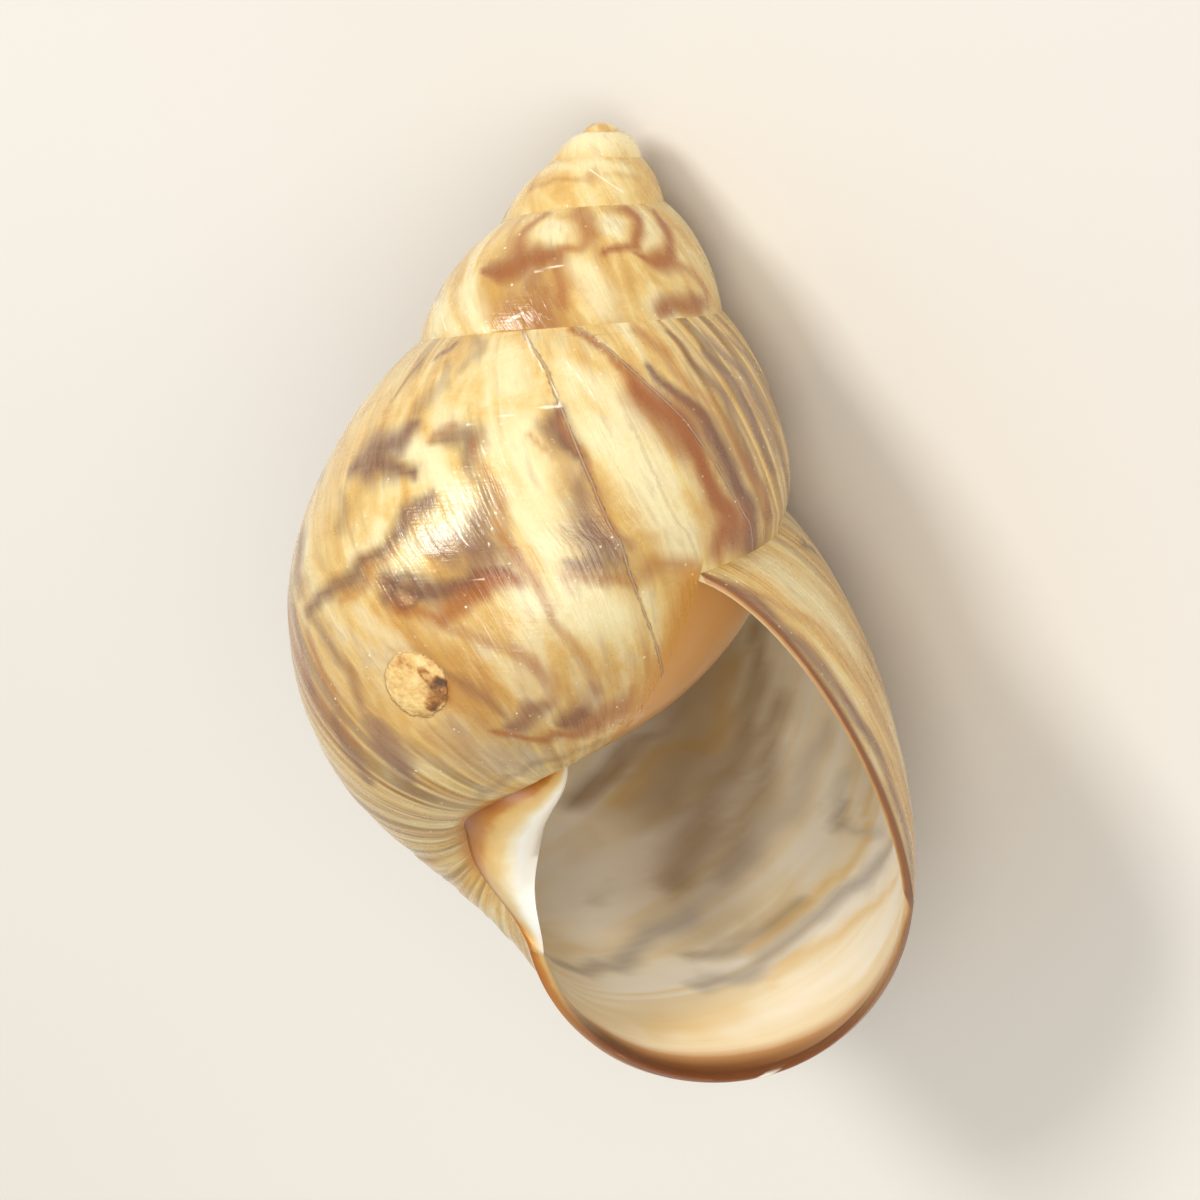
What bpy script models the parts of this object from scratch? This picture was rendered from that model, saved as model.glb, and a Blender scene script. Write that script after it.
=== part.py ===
"""Tree snail shell: one right-handed spiral shell with its whole mouth, lying on its back.

The shell is one tube of calcium carbonate that widens as it winds round an axis. Its place along the tube is
counted in turns back from the lip: 0 is the lip, 1 is one whole turn earlier, and about 5 is the nucleus.
Every whorl has an egg-shaped section, which is cut off above by the whorl before it, along the suture. The
outer surface, the hollow inside, the rounded lip and the pillar (the columella) are lofted from such sections
and meet edge to edge, so they make one closed body.
"""

import math

import bmesh
import bpy
import numpy as np

MM = 0.001

# Growth laws: the widest point of each whorl, in millimetres, at stations along the tube.
STATION_TURNS = (0, 0.25, 0.5, 0.75, 1, 1.5, 2, 3, 4, 5, 6.5)
WIDEST_RADIUS = (27.8, 21.9, 17.9, 16.1, 15.1, 10.8, 9.3, 4.75, 2.95, 1.2, 0.5)
WIDEST_DEPTH = (51.7, 40.6, 32.9, 29.3, 24.4, 16.1, 13.25, 6.35, 3.3, 1.15, 0.5)

# The whorl's section round its widest point, as shares of the whorl's radius, and its tilt in radians.
SHAPE_TURNS = (0, 0.5, 1, 2, 4)
OUTER_WIDTH = (0.53, 0.60, 0.655, 0.68, 0.645)
INNER_WIDTH = (1.52, 1.285, 1.23, 1.20, 1.185)
RISE = (0.87, 1.06, 0.905, 0.925, 0.935)
DROP = (0.925, 0.865, 1.015, 1.015, 1.02)
TILT = (-0.01, 0.05, 0.085, 0.035, 0.10)
UPPER_POWER = 1.59
LOWER_POWER = 1.91

# The lip: its slant in turns, by how far down the lip, and where it joins the whorl before, round the axis.
LIP_SLANT = (0.262, 0.108, -0.026)
SLANT_FADE = 1.5
LIP_AZIMUTH = math.radians(-52.6)

# The pillar: where the base of the last whorl folds over it, and the free edge that faces the mouth.
FOLD_TURNS = (0.3, 0.5, 0.62, 0.75, 0.88, 1.0)
FOLD_RADIUS = (2.4, 4.3, 3.8, 4.55, 4.2, 2.6)
EDGE_RADIUS_TOP = 2.6
EDGE_RADIUS_BOTTOM = 4.6
WAIST_RADIUS = 0.85
WAIST = 0.42
PILLAR_RADIUS = 1.2
PILLAR_BULGE = 0.34
PILLAR_FADE = 0.45
EDGE_POWER_TOP = 2.0
EDGE_POWER_BOTTOM = 2.5

# Wall thickness, in millimetres.
WALL = 1.1
LIP_WALL = 0.5
WALL_TURNS = 0.8
PILLAR_WALL = 0.5
PILLAR_WALL_POWER = 6
CALLUS = 0.35
CALLUS_TURNS = 0.12
FULL_WALL_RADIUS = 12.0
RIM_BULGE = 0.5

# How finely it is cut: rows a turn, columns down a whorl, and how far the tube and its hollow reach.
ROWS_A_TURN = 32
LAST_TURN_OF_TUBE = 5.25
NUCLEUS_TURNS = 0.6
COLUMNS_ABOVE = 10
COLUMNS_BELOW = 14
HOLLOW_ROWS_A_TURN = 16
LAST_TURN_OF_HOLLOW = 2.25
PILLAR_COLUMNS = 8
FOLD_COLUMNS = 16
RIM_ROWS = 2
TIP_RINGS = 2
TIP_ROUNDING = 1.8

# How it lies: turned about its long axis and tipped along it until it rests on its back.
REST_ROLL = math.radians(38.8)
REST_PITCH = math.radians(-28.4)

SHELL_COLOUR = (0.62, 0.42, 0.20, 1.0)
SHELL_ROUGHNESS = 0.3
SHARP_ANGLE = math.radians(40)
WELD = 1e-6

# Where an angle round the section is looked for, and how often the search halves its range.
SUTURE_SEARCH = (math.radians(-140), math.radians(10))
BASE_SEARCH = (math.radians(60), math.radians(179))
HALVINGS = 34
HOLLOW_PASSES = 4


def natural_spline(stations, values):
    """A curve through the stations with an even bend, straight at both ends; gives a function of place."""
    x = np.array(stations, float)
    y = np.array(values, float)
    gap = np.diff(x)
    rows = np.eye(len(x))
    bends = np.zeros(len(x))
    for i in range(1, len(x) - 1):
        rows[i, i - 1:i + 2] = gap[i - 1], 2 * (gap[i - 1] + gap[i]), gap[i]
        bends[i] = 6 * ((y[i + 1] - y[i]) / gap[i] - (y[i] - y[i - 1]) / gap[i - 1])
    bend = np.linalg.solve(rows, bends)

    def at(place):
        place = np.asarray(place, float)
        k = np.clip(np.searchsorted(x, place) - 1, 0, len(x) - 2)
        before = (x[k + 1] - place) / gap[k]
        after = (place - x[k]) / gap[k]
        curve = (before**3 - before) * bend[k] + (after**3 - after) * bend[k + 1]
        return before * y[k] + after * y[k + 1] + curve * gap[k] ** 2 / 6

    return at


log_radius = natural_spline(STATION_TURNS, np.log(WIDEST_RADIUS))
log_depth = natural_spline(STATION_TURNS, np.log(WIDEST_DEPTH))
outer_width = natural_spline(SHAPE_TURNS, OUTER_WIDTH)
inner_width = natural_spline(SHAPE_TURNS, INNER_WIDTH)
rise = natural_spline(SHAPE_TURNS, RISE)
drop = natural_spline(SHAPE_TURNS, DROP)
tilt = natural_spline(SHAPE_TURNS, TILT)
fold_radius = natural_spline(FOLD_TURNS, FOLD_RADIUS)


def whorl(turn):
    """The section's middle, its reach out, in, up and down, and its tilt, at a place along the tube."""
    radius = np.exp(log_radius(turn))
    early = np.clip(turn, SHAPE_TURNS[0], SHAPE_TURNS[-1])
    out = outer_width(early) * radius
    middle = radius - out
    return middle, np.exp(log_depth(turn)), out, inner_width(early) * middle, rise(early) * radius, \
        drop(early) * radius, tilt(early)


def section_point(turn, angle, grow=0.0):
    """Distance from the axis and depth below the tip, at an angle round the section: 0 is out, 90 down."""
    middle, depth, out, inside, up, down, lean = whorl(turn)
    power = np.where(np.sin(angle) < 0, UPPER_POWER, LOWER_POWER)
    reach = np.where(np.cos(angle) >= 0, out, inside) + grow
    height = np.where(np.sin(angle) >= 0, down, up) + grow
    across = np.sign(np.cos(angle)) * np.abs(np.cos(angle)) ** (2 / power) * reach
    along = np.sign(np.sin(angle)) * np.abs(np.sin(angle)) ** (2 / power) * height
    return middle + across * np.cos(lean) - along * np.sin(lean), \
        depth + across * np.sin(lean) + along * np.cos(lean)


def section_shares(turn, radius, depth, grow=0.0):
    """Where a point is in the section's frame, as signed powers whose sum is 1 on the section's outline."""
    middle, level, out, inside, up, down, lean = whorl(turn)
    x = radius - middle
    y = depth - level
    across = x * np.cos(lean) + y * np.sin(lean)
    along = y * np.cos(lean) - x * np.sin(lean)
    power = np.where(along < 0, UPPER_POWER, LOWER_POWER)
    reach = np.where(across >= 0, out, inside) + grow
    height = np.where(along >= 0, down, up) + grow
    return np.sign(across) * (np.abs(across) / reach) ** power, \
        np.sign(along) * (np.abs(along) / height) ** power


def section_angle(turn, radius, depth, grow=0.0):
    """The angle round the section of a point on its outline."""
    across, along = section_shares(turn, radius, depth, grow)
    return np.arctan2(np.sign(along) * np.sqrt(np.abs(along)), np.sign(across) * np.sqrt(np.abs(across)))


def halve(turn, search, is_low):
    """Closes in on the angle, for each turn, at which is_low goes from true to false."""
    low = np.full(turn.shape, search[0])
    high = np.full(turn.shape, search[1])
    for _ in range(HALVINGS):
        half = (low + high) / 2
        keep = is_low(half)
        low = np.where(keep, half, low)
        high = np.where(keep, high, half)
    return (low + high) / 2


def meeting(turn, shrink=0.0, grow=0.0):
    """Where a whorl meets the whorl before it: the angle on each, and the point's radius and depth.

    The whorl may be shrunk by its wall and the whorl before it grown by its callus, for the hollow's corner.
    """
    turn = np.asarray(turn, float)

    def outside(angle):
        shares = section_shares(turn + 1, *section_point(turn, angle, -shrink), grow)
        return np.abs(shares[0]) + np.abs(shares[1]) < 1

    angle = halve(turn, SUTURE_SEARCH, outside)
    radius, depth = section_point(turn, angle, -shrink)
    return angle, section_angle(turn + 1, radius, depth, grow), radius, depth


def angle_at_radius(turn, radius, grow=0.0):
    """The angle at which the section's lower side comes in to a given distance from the axis."""
    turn = np.asarray(turn, float)

    def wider(angle):
        return section_point(turn, angle, grow)[0] > radius

    return halve(turn, BASE_SEARCH, wider)


def place(turn, radius, depth):
    """A point in space, with the axis upright and the tip at the origin, in millimetres."""
    azimuth = LIP_AZIMUTH + 2 * math.pi * turn
    return np.stack([radius * np.cos(azimuth), radius * np.sin(azimuth), -depth], axis=-1)


def slant(share):
    """How many turns the growth lines lag behind the suture, by their share of the way down the whorl."""
    return LIP_SLANT[0] * share + LIP_SLANT[1] * share**2 + LIP_SLANT[2] * share**3


def slanted(turn, share):
    """The place along the tube of a point on a growth line, whose slant dies out over the last whole turn."""
    return turn + slant(share) * np.clip(1 - turn, 0, 1) ** SLANT_FADE


def share_down(turn, angle):
    """The share of the way down the outer surface, from suture to pillar, of an angle round the section."""
    top = meeting(turn)[0]
    bottom = angle_at_radius(turn, fold_radius(np.minimum(turn, 1)))
    return np.clip((angle - top) / (bottom - top), 0, 1)


def lip_corner_share():
    """The shares of the way down the whorl where the lip's outer and inner edges join the whorl before it."""
    top = meeting(1.0)[0]
    bottom = angle_at_radius(1.0, fold_radius(1.0))
    outer = meeting(0.0)[1]
    inner = meeting(0.0, LIP_WALL)[1]
    return float((outer - top) / (bottom - top)), float((inner - top) / (bottom - top))


OUTER_CORNER, INNER_CORNER = lip_corner_share()


def column_shares(above, below):
    """Shares of the way down the last whorl, even above the lip's corner and even below its inner edge."""
    return np.concatenate([np.linspace(0, OUTER_CORNER, above + 1), np.linspace(INNER_CORNER, 1, below)])


def last_whorl(rows, above, below):
    """The outer surface of the last turn, from the lip back to where the mouth meets the whorl before."""
    share = column_shares(above, below)[None, :]
    turn = slanted(np.linspace(0, 1, rows + 1)[:, None], share)
    top = meeting(turn)[0]
    bottom = angle_at_radius(turn, fold_radius(turn))
    return place(turn, *section_point(turn, top + (bottom - top) * share))


def spire(rows, columns, last_turn):
    """The outer surface of the earlier whorls, each between its own suture and the next.

    Over the nucleus the strip narrows to nothing, on the suture below it.
    """
    turn = 1 + np.arange(int(round((last_turn - 1) * rows)) + 1)[:, None] / rows
    top = meeting(turn)[0]
    bottom = meeting(turn - 1)[1]
    narrowing = np.clip((turn - last_turn) / NUCLEUS_TURNS + 1, 0, 1)
    top = top + (bottom - top) * narrowing * narrowing * (3 - 2 * narrowing)
    share = np.linspace(0, 1, columns + 1)[None, :]
    angle = top + (bottom - top) * share
    return place(turn + 0 * share, *section_point(turn + 0 * share, angle))


def tip(spire_rows, rows, rings):
    """Rings that close the nucleus, shrinking to the tip from the open edge that the last turn leaves."""
    edge = spire_rows[-rows:, 0]
    share = np.linspace(1, 0, rings + 2)[:, None, None]
    ring = edge[None] * share
    ring[..., 2] = edge[None, :, 2] * share[..., 0] ** TIP_ROUNDING
    return ring


def wall(turn, share):
    """Thickness of the wall: thin at the lip, thicker with age and towards the pillar, less up the spire."""
    size = np.minimum(1, np.exp(log_radius(turn)) / FULL_WALL_RADIUS)
    thicker = (WALL - LIP_WALL) * np.clip(turn / WALL_TURNS, 0, 1)
    return size * (LIP_WALL + thicker + PILLAR_WALL * share**PILLAR_WALL_POWER)


def callus(turn):
    """Thickness of the glaze laid inside the mouth on the whorl before; it starts at nothing."""
    size = np.minimum(1, np.exp(log_radius(turn + 1)) / FULL_WALL_RADIUS)
    return size * CALLUS * np.clip(turn / CALLUS_TURNS, 0, 1)


def pillar_radius(turn, share):
    """Distance from the axis of the hollow's inner side: narrowest at its waist, and even deep inside."""
    deep = np.clip(turn / PILLAR_FADE, 0, 1)
    deep = deep * deep * (3 - 2 * deep)
    inner = PILLAR_RADIUS * np.minimum(1, np.exp(log_radius(turn)) / FULL_WALL_RADIUS)
    up = np.clip((share - WAIST) / (1 - WAIST), 0, 1)
    down = np.clip((WAIST - share) / WAIST, 0, 1)
    edge = WAIST_RADIUS + (EDGE_RADIUS_TOP - WAIST_RADIUS) * up**EDGE_POWER_TOP
    edge = edge + (EDGE_RADIUS_BOTTOM - WAIST_RADIUS) * down**EDGE_POWER_BOTTOM
    return edge + (inner - edge) * deep


def hollow(mouth, rows, last_turn, shares, pillar, below):
    """The inside surface: loops down the outer wall, up the pillar and back along the whorl before.

    The mouth's own loop is the given row of the outer surface, so that the two meet there.
    """
    turn = np.arange(int(round(last_turn * rows)) + 1)[:, None] / rows
    top_radius = pillar_radius(turn, 1.0)
    bottom_radius = pillar_radius(turn, 0.0)
    share = shares[None, :]
    growth = slanted(turn, share)
    for _ in range(HOLLOW_PASSES):
        thickness = wall(growth, share)
        high = meeting(growth, thickness, callus(growth))[0]
        low = angle_at_radius(growth, bottom_radius, -thickness)
        angle = high + (low - high) * share
        growth = slanted(turn, share_down(growth, angle))
    outer_side = place(growth, *section_point(growth, angle, -wall(growth, share)))

    corner = meeting(turn, wall(turn, 0), callus(turn))[1]
    end = angle_at_radius(turn + 1, top_radius, callus(turn))
    share = np.linspace(1, 0, below)[None, :]
    before = turn + 1 + 0 * share
    parietal = place(before, *section_point(before, corner + (end - corner) * share, callus(turn)))

    share = np.linspace(0, 1, pillar + 1)[None, :]
    around = growth[:, -1:] * (1 - share) + turn * share
    depth = -outer_side[:, -1:, 2] * (1 - share) - parietal[:, :1, 2] * share
    pillar_side = place(around, pillar_radius(turn, share), depth)

    parietal[0] = mouth[::-1]
    pillar_side[0, -1] = mouth[-1]
    outer_side[0, 0] = mouth[0]
    return outer_side, pillar_side, parietal


def rim(outer_edge, inner_edge, rows):
    """The rounded edge of the lip: rows between its outer and inner edges that stand a little forward."""
    along = np.gradient(outer_edge, axis=0)
    across = inner_edge - outer_edge
    forward = np.cross(across, along)
    forward /= np.linalg.norm(forward, axis=1)[:, None] + 1e-9
    width = np.linalg.norm(across, axis=1)[:, None]
    result = []
    for k in range(1, rows + 1):
        share = k / (rows + 1)
        row = outer_edge + across * share + forward * width * RIM_BULGE * math.sin(math.pi * share)
        row[0] = outer_edge[0]
        result.append(row)
    return result


def resample(chain, count):
    """Points spaced evenly along a chain of points."""
    length = np.concatenate([[0], np.cumsum(np.linalg.norm(np.diff(chain, axis=0), axis=1))])
    spot = np.linspace(0, length[-1], count)
    return np.stack([np.interp(spot, length, chain[:, k]) for k in range(3)], axis=-1)


def fold_over_pillar(fold, edge, bottom, columns):
    """Chains across the pillar's face, from the fold to the free edge, which swell towards the front.

    All chains end in the point where the fold and the edge meet. They start at the lip's own end points.
    """
    count = len(bottom)
    outer = resample(fold, columns + 1)
    inner = resample(edge, columns + 1)
    across = inner - outer
    outward = np.stack([across[:, 1], -across[:, 0], 0 * across[:, 2]], axis=-1)
    up = np.clip(np.linspace(0, 2, columns + 1)[:, None], 0, 1)
    outward *= PILLAR_BULGE * up * up * (3 - 2 * up)
    chains = []
    for k in range(count):
        share = (k + 1) / (count + 1)
        chain = outer + across * share + outward * 4 * share * (1 - share)
        chain[0] = bottom[k]
        chain[-1] = fold[-1]
        chains.append(chain)
    return chains


class Surface:
    """Gathers points and faces of the one body."""

    def __init__(self):
        self.points = []
        self.faces = []

    def add(self, points):
        """Adds a row of points and gives back their numbers."""
        first = len(self.points)
        self.points.extend(map(tuple, points))
        return list(range(first, len(self.points)))

    def bridge(self, one, other):
        """Joins two rows: quads where their counts match, otherwise triangles on the shorter diagonals."""
        if len(one) == len(other):
            for k in range(len(one) - 1):
                self.faces.append((one[k], one[k + 1], other[k + 1], other[k]))
            return
        i = 0
        j = 0
        while i < len(one) - 1 or j < len(other) - 1:
            if j == len(other) - 1 or (i < len(one) - 1 and self.gap(one[i + 1], other[j]) <=
                                       self.gap(one[i], other[j + 1])):
                self.faces.append((one[i], one[i + 1], other[j]))
                i += 1
            else:
                self.faces.append((one[i], other[j + 1], other[j]))
                j += 1

    def gap(self, one, other):
        """Distance between two points."""
        return math.dist(self.points[one], self.points[other])

    def loft(self, rows, closed=False):
        """Joins each row of points to the next; closed rows come back to their first point."""
        numbers = [self.add(row) for row in rows]
        for one, other in zip(numbers, numbers[1:]):
            if closed:
                self.bridge(one + one[:1], other + other[:1])
            else:
                self.bridge(one, other)


def shell_surface():
    """All the shell's faces, in millimetres, with the axis upright and the tip at the origin."""
    surface = Surface()
    last = last_whorl(ROWS_A_TURN, COLUMNS_ABOVE, COLUMNS_BELOW)
    surface.loft(last)
    early = spire(ROWS_A_TURN, COLUMNS_ABOVE, LAST_TURN_OF_TUBE)
    surface.loft(early)
    surface.loft(tip(early, ROWS_A_TURN, TIP_RINGS), closed=True)

    mouth = last[-1, COLUMNS_ABOVE + 1:]
    shares = column_shares(COLUMNS_ABOVE, COLUMNS_BELOW)
    outer, pillar, parietal = hollow(mouth, HOLLOW_ROWS_A_TURN, LAST_TURN_OF_HOLLOW, shares, PILLAR_COLUMNS,
                                     COLUMNS_BELOW)
    loops = np.concatenate([outer, pillar[:, 1:], parietal[:, 1:-1]], axis=1)
    surface.loft(loops, closed=True)
    surface.loft([outer[-1], np.concatenate([pillar[-1], parietal[-1, 1:-1], outer[-1, :1]])[::-1]])

    lip = [last[0], *rim(last[0], outer[0], RIM_ROWS), outer[0]]
    surface.loft(lip)
    bottom = [row[-1] for row in lip[1:-1]]
    fold = last[:, -1]
    edge = pillar[0]
    surface.loft([fold, *fold_over_pillar(fold, edge, bottom, FOLD_COLUMNS), edge])
    return surface


def lay_down(points):
    """Lays the upright shell on its back, mouth up and spire towards +Y, and sets it on the ground."""
    x, y, z = np.array(points).T
    flat = np.stack([x, z, -y])
    roll = np.array([[math.cos(REST_ROLL), 0, math.sin(REST_ROLL)], [0, 1, 0],
                     [-math.sin(REST_ROLL), 0, math.cos(REST_ROLL)]])
    pitch = np.array([[1, 0, 0], [0, math.cos(REST_PITCH), -math.sin(REST_PITCH)],
                      [0, math.sin(REST_PITCH), math.cos(REST_PITCH)]])
    turned = (pitch @ roll @ flat).T * MM
    low = turned.min(axis=0)
    high = turned.max(axis=0)
    return turned - np.array([(low[0] + high[0]) / 2, (low[1] + high[1]) / 2, low[2]])


def shell_material():
    """Aragonite under a thin glossy skin: cream and honey yellow, fairly smooth."""
    material = bpy.data.materials.new("shell_aragonite")
    material.use_nodes = True
    shader = material.node_tree.nodes["Principled BSDF"]
    shader.inputs["Base Color"].default_value = SHELL_COLOUR
    shader.inputs["Roughness"].default_value = SHELL_ROUGHNESS
    shader.inputs["Metallic"].default_value = 0.0
    return material


def build_shell(collection):
    """The shell as one closed, outward-facing mesh of triangles."""
    surface = shell_surface()
    mesh = bpy.data.meshes.new("shell")
    mesh.from_pydata(lay_down(surface.points).tolist(), [], surface.faces)
    body = bmesh.new()
    body.from_mesh(mesh)
    bmesh.ops.remove_doubles(body, verts=body.verts, dist=WELD)
    bmesh.ops.triangulate(body, faces=body.faces)
    bmesh.ops.recalc_face_normals(body, faces=body.faces)
    body.to_mesh(mesh)
    body.free()
    mesh.materials.append(shell_material())
    mesh.shade_smooth()
    mesh.set_sharp_from_angle(angle=SHARP_ANGLE)
    shell = bpy.data.objects.new("shell", mesh)
    collection.objects.link(shell)
    return shell


def main():
    for old in list(bpy.data.objects):
        bpy.data.objects.remove(old, do_unlink=True)
    collection = bpy.data.collections.new("tree_snail_shell")
    bpy.context.scene.collection.children.link(collection)
    build_shell(collection)


main()
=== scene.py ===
# %% [markdown]
# # Dressing a tree snail shell
#
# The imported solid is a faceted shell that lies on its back. This notebook builds the same shell again with a
# fine, smooth skin, paints it with the bands and flames that the animal laid down as it grew, and lights it.
# The shell's law is written upright and in millimetres, and one function lays it into the solid's own frame
# in metres, so its size and place are those of the solid.

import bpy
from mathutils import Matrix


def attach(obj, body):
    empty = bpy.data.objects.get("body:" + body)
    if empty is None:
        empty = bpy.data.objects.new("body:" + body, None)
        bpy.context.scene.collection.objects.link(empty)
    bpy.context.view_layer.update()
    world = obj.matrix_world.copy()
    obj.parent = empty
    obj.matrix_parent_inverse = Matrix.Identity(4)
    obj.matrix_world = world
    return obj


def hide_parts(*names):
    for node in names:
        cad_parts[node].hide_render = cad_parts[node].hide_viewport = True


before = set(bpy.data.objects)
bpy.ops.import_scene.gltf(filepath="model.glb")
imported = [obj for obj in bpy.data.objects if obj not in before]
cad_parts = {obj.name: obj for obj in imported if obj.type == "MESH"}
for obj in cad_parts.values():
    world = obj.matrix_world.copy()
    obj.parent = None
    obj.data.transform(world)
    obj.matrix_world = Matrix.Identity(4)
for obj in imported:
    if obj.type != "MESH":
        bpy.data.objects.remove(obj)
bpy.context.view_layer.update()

import math

import bmesh
import bpy
import numpy as np
from mathutils import Matrix, Vector

MM = 0.001

# %% [markdown]
# ## The law that the shell grows by
#
# A snail adds shell only at the lip, so the whole shell is one tube that widens as it winds. A place on it is
# told by two numbers: **turn**, how many turns back from the lip, and **share**, how far down the whorl from
# the suture (0) to the pillar (1). It could be sculpted by hand or made by repeating one scaled ring, but
# real whorls change shape as the animal grows up, so here the radius, the depth and the shape of the whorl
# each run through a few stations on one smooth curve. The stations' values come from another program, which
# fitted this same law to a shell's outline, sutures and lip by least squares. They were rounded afterwards,
# and a few were changed.

# %% A smooth curve through stations
def natural_spline(stations, values):
    """Cubic pieces between the stations with equal slope and bend where they meet, and no bend at the ends.

    In a gap of length h, with b and a the shares of the gap after and before the place:
    value = b*y0 + a*y1 + ((b^3 - b)*bend0 + (a^3 - a)*bend1) * h^2 / 6.
    """
    x = np.array(stations, float)
    y = np.array(values, float)
    gap = np.diff(x)
    slope = np.diff(y) / gap
    rows = np.diag(np.concatenate([[1], 2 * (gap[:-1] + gap[1:]), [1]]))
    rows += np.diag(np.concatenate([gap[:-1], [0]]), -1) + np.diag(np.concatenate([[0], gap[1:]]), 1)
    bend = np.linalg.solve(rows, np.concatenate([[0], 6 * np.diff(slope), [0]]))

    def at(place):
        place = np.asarray(place, float)
        k = np.clip(np.searchsorted(x, place) - 1, 0, len(x) - 2)
        before = (x[k + 1] - place) / gap[k]
        after = (place - x[k]) / gap[k]
        curve = (before**3 - before) * bend[k] + (after**3 - after) * bend[k + 1]
        return before * y[k] + after * y[k + 1] + curve * gap[k] ** 2 / 6

    return at


def ease(x):
    """A smooth step from 0 to 1: 3x^2 - 2x^3, held level outside."""
    x = np.clip(x, 0, 1)
    return x * x * (3 - 2 * x)


print("the smooth step at quarters:", np.round(ease(np.linspace(0, 1, 5)), 2))


# %% How radius, depth and the whorl's section change with the turn
STATION_TURNS = (0, 0.25, 0.5, 0.75, 1, 1.5, 2, 3, 4, 5, 6.5)
WIDEST_RADIUS = (27.8, 21.9, 17.9, 16.1, 15.1, 10.8, 9.3, 4.75, 2.95, 1.2, 0.5)
WIDEST_DEPTH = (51.7, 40.6, 32.9, 29.3, 24.4, 16.1, 13.25, 6.35, 3.3, 1.15, 0.5)
SHAPE_TURNS = (0, 0.5, 1, 2, 4)

log_radius = natural_spline(STATION_TURNS, np.log(WIDEST_RADIUS))
log_depth = natural_spline(STATION_TURNS, np.log(WIDEST_DEPTH))
outer_width = natural_spline(SHAPE_TURNS, (0.53, 0.60, 0.655, 0.68, 0.645))
inner_width = natural_spline(SHAPE_TURNS, (1.52, 1.285, 1.23, 1.20, 1.185))
rise = natural_spline(SHAPE_TURNS, (0.87, 1.06, 0.905, 0.925, 0.935))
drop = natural_spline(SHAPE_TURNS, (0.89, 0.865, 1.015, 1.015, 1.02))
tilt = natural_spline(SHAPE_TURNS, (-0.01, 0.05, 0.085, 0.035, 0.10))
fold_radius = natural_spline((0.3, 0.5, 0.62, 0.75, 0.88, 1.0), (2.4, 4.3, 3.8, 4.55, 4.2, 2.6))
UPPER_POWER = 1.59
LOWER_POWER = 1.91


def whorl(turn):
    """Middle radius, depth, reach out, in, up and down, and tilt of the whorl, from the curves above."""
    radius = np.exp(log_radius(turn))
    early = np.clip(turn, SHAPE_TURNS[0], SHAPE_TURNS[-1])
    out = outer_width(early) * radius
    return (radius - out, np.exp(log_depth(turn)), out, inner_width(early) * (radius - out),
            rise(early) * radius, drop(early) * radius, tilt(early))


print("whorl radius in mm at turns 0 to 5:", np.round(np.exp(log_radius(np.arange(6.0))), 1))

# %% [markdown]
# ## The whorl's section and the suture
#
# Cut across the tube, a whorl is an egg. A superellipse gives it: |x/a|^p + |y/b|^p = 1, with a different
# reach out, in, up and down, and a different power above and below. The next older whorl cuts off its top
# along the **suture**, the line that climbs the spire. That line has no formula, so it is found by halving:
# an angle is tried on every row at once, and the half that still lies inside the older whorl is left out.

# %% The section as a curve, and the test for being inside it
def section_point(turn, angle, grow=0.0):
    """Radius and depth at an angle round the section, 0 out and 90 degrees down.

    across = reach * cos^(2/p), along = height * sin^(2/p), both turned by the whorl's tilt.
    """
    middle, depth, out, inside, up, down, lean = whorl(turn)
    power = np.where(np.sin(angle) < 0, UPPER_POWER, LOWER_POWER)
    reach = np.where(np.cos(angle) >= 0, out, inside) + grow
    height = np.where(np.sin(angle) >= 0, down, up) + grow
    across = np.sign(np.cos(angle)) * np.abs(np.cos(angle)) ** (2 / power) * reach
    along = np.sign(np.sin(angle)) * np.abs(np.sin(angle)) ** (2 / power) * height
    return (middle + across * np.cos(lean) - along * np.sin(lean),
            depth + across * np.sin(lean) + along * np.cos(lean))


def section_shares(turn, radius, depth, grow=0.0):
    """(x/a)^p and (y/b)^p of a point, with their signs. Their sizes add up to 1 on the outline."""
    middle, level, out, inside, up, down, lean = whorl(turn)
    x = radius - middle
    y = depth - level
    across = x * np.cos(lean) + y * np.sin(lean)
    along = y * np.cos(lean) - x * np.sin(lean)
    power = np.where(along < 0, UPPER_POWER, LOWER_POWER)
    reach = np.where(across >= 0, out, inside) + grow
    height = np.where(along >= 0, down, up) + grow
    return (np.sign(across) * (np.abs(across) / reach) ** power,
            np.sign(along) * (np.abs(along) / height) ** power)


def section_angle(turn, radius, depth, grow=0.0):
    """The angle of a point on the outline: the arc tangent of the square roots of its two shares."""
    across, along = section_shares(turn, radius, depth, grow)
    return np.arctan2(np.sign(along) * np.sqrt(np.abs(along)), np.sign(across) * np.sqrt(np.abs(across)))


reach_of_lip = section_point(np.zeros(2), np.radians([180, 0]))[0]
print("the lip's section reaches between these radii in mm:", np.round(reach_of_lip, 1))

# %% Halving, the suture and the base
SUTURE_SEARCH = (math.radians(-140), math.radians(10))
BASE_SEARCH = (math.radians(60), math.radians(179))
HALVINGS = 34


def halve(turn, search, is_low):
    """Halves the search range, for every turn at once, towards the angle where is_low stops being true."""
    low = np.full(turn.shape, search[0])
    high = np.full(turn.shape, search[1])
    for _ in range(HALVINGS):
        half = (low + high) / 2
        keep = is_low(half)
        low = np.where(keep, half, low)
        high = np.where(keep, high, half)
    return (low + high) / 2


def meeting(turn, shrink=0.0, grow=0.0):
    """Where a whorl meets the older one: its own angle, the older one's angle, radius and depth."""
    turn = np.asarray(turn, float)

    def inside_older(angle):
        across, along = section_shares(turn + 1, *section_point(turn, angle, -shrink), grow)
        return np.abs(across) + np.abs(along) < 1

    angle = halve(turn, SUTURE_SEARCH, inside_older)
    radius, depth = section_point(turn, angle, -shrink)
    return angle, section_angle(turn + 1, radius, depth, grow), radius, depth


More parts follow.
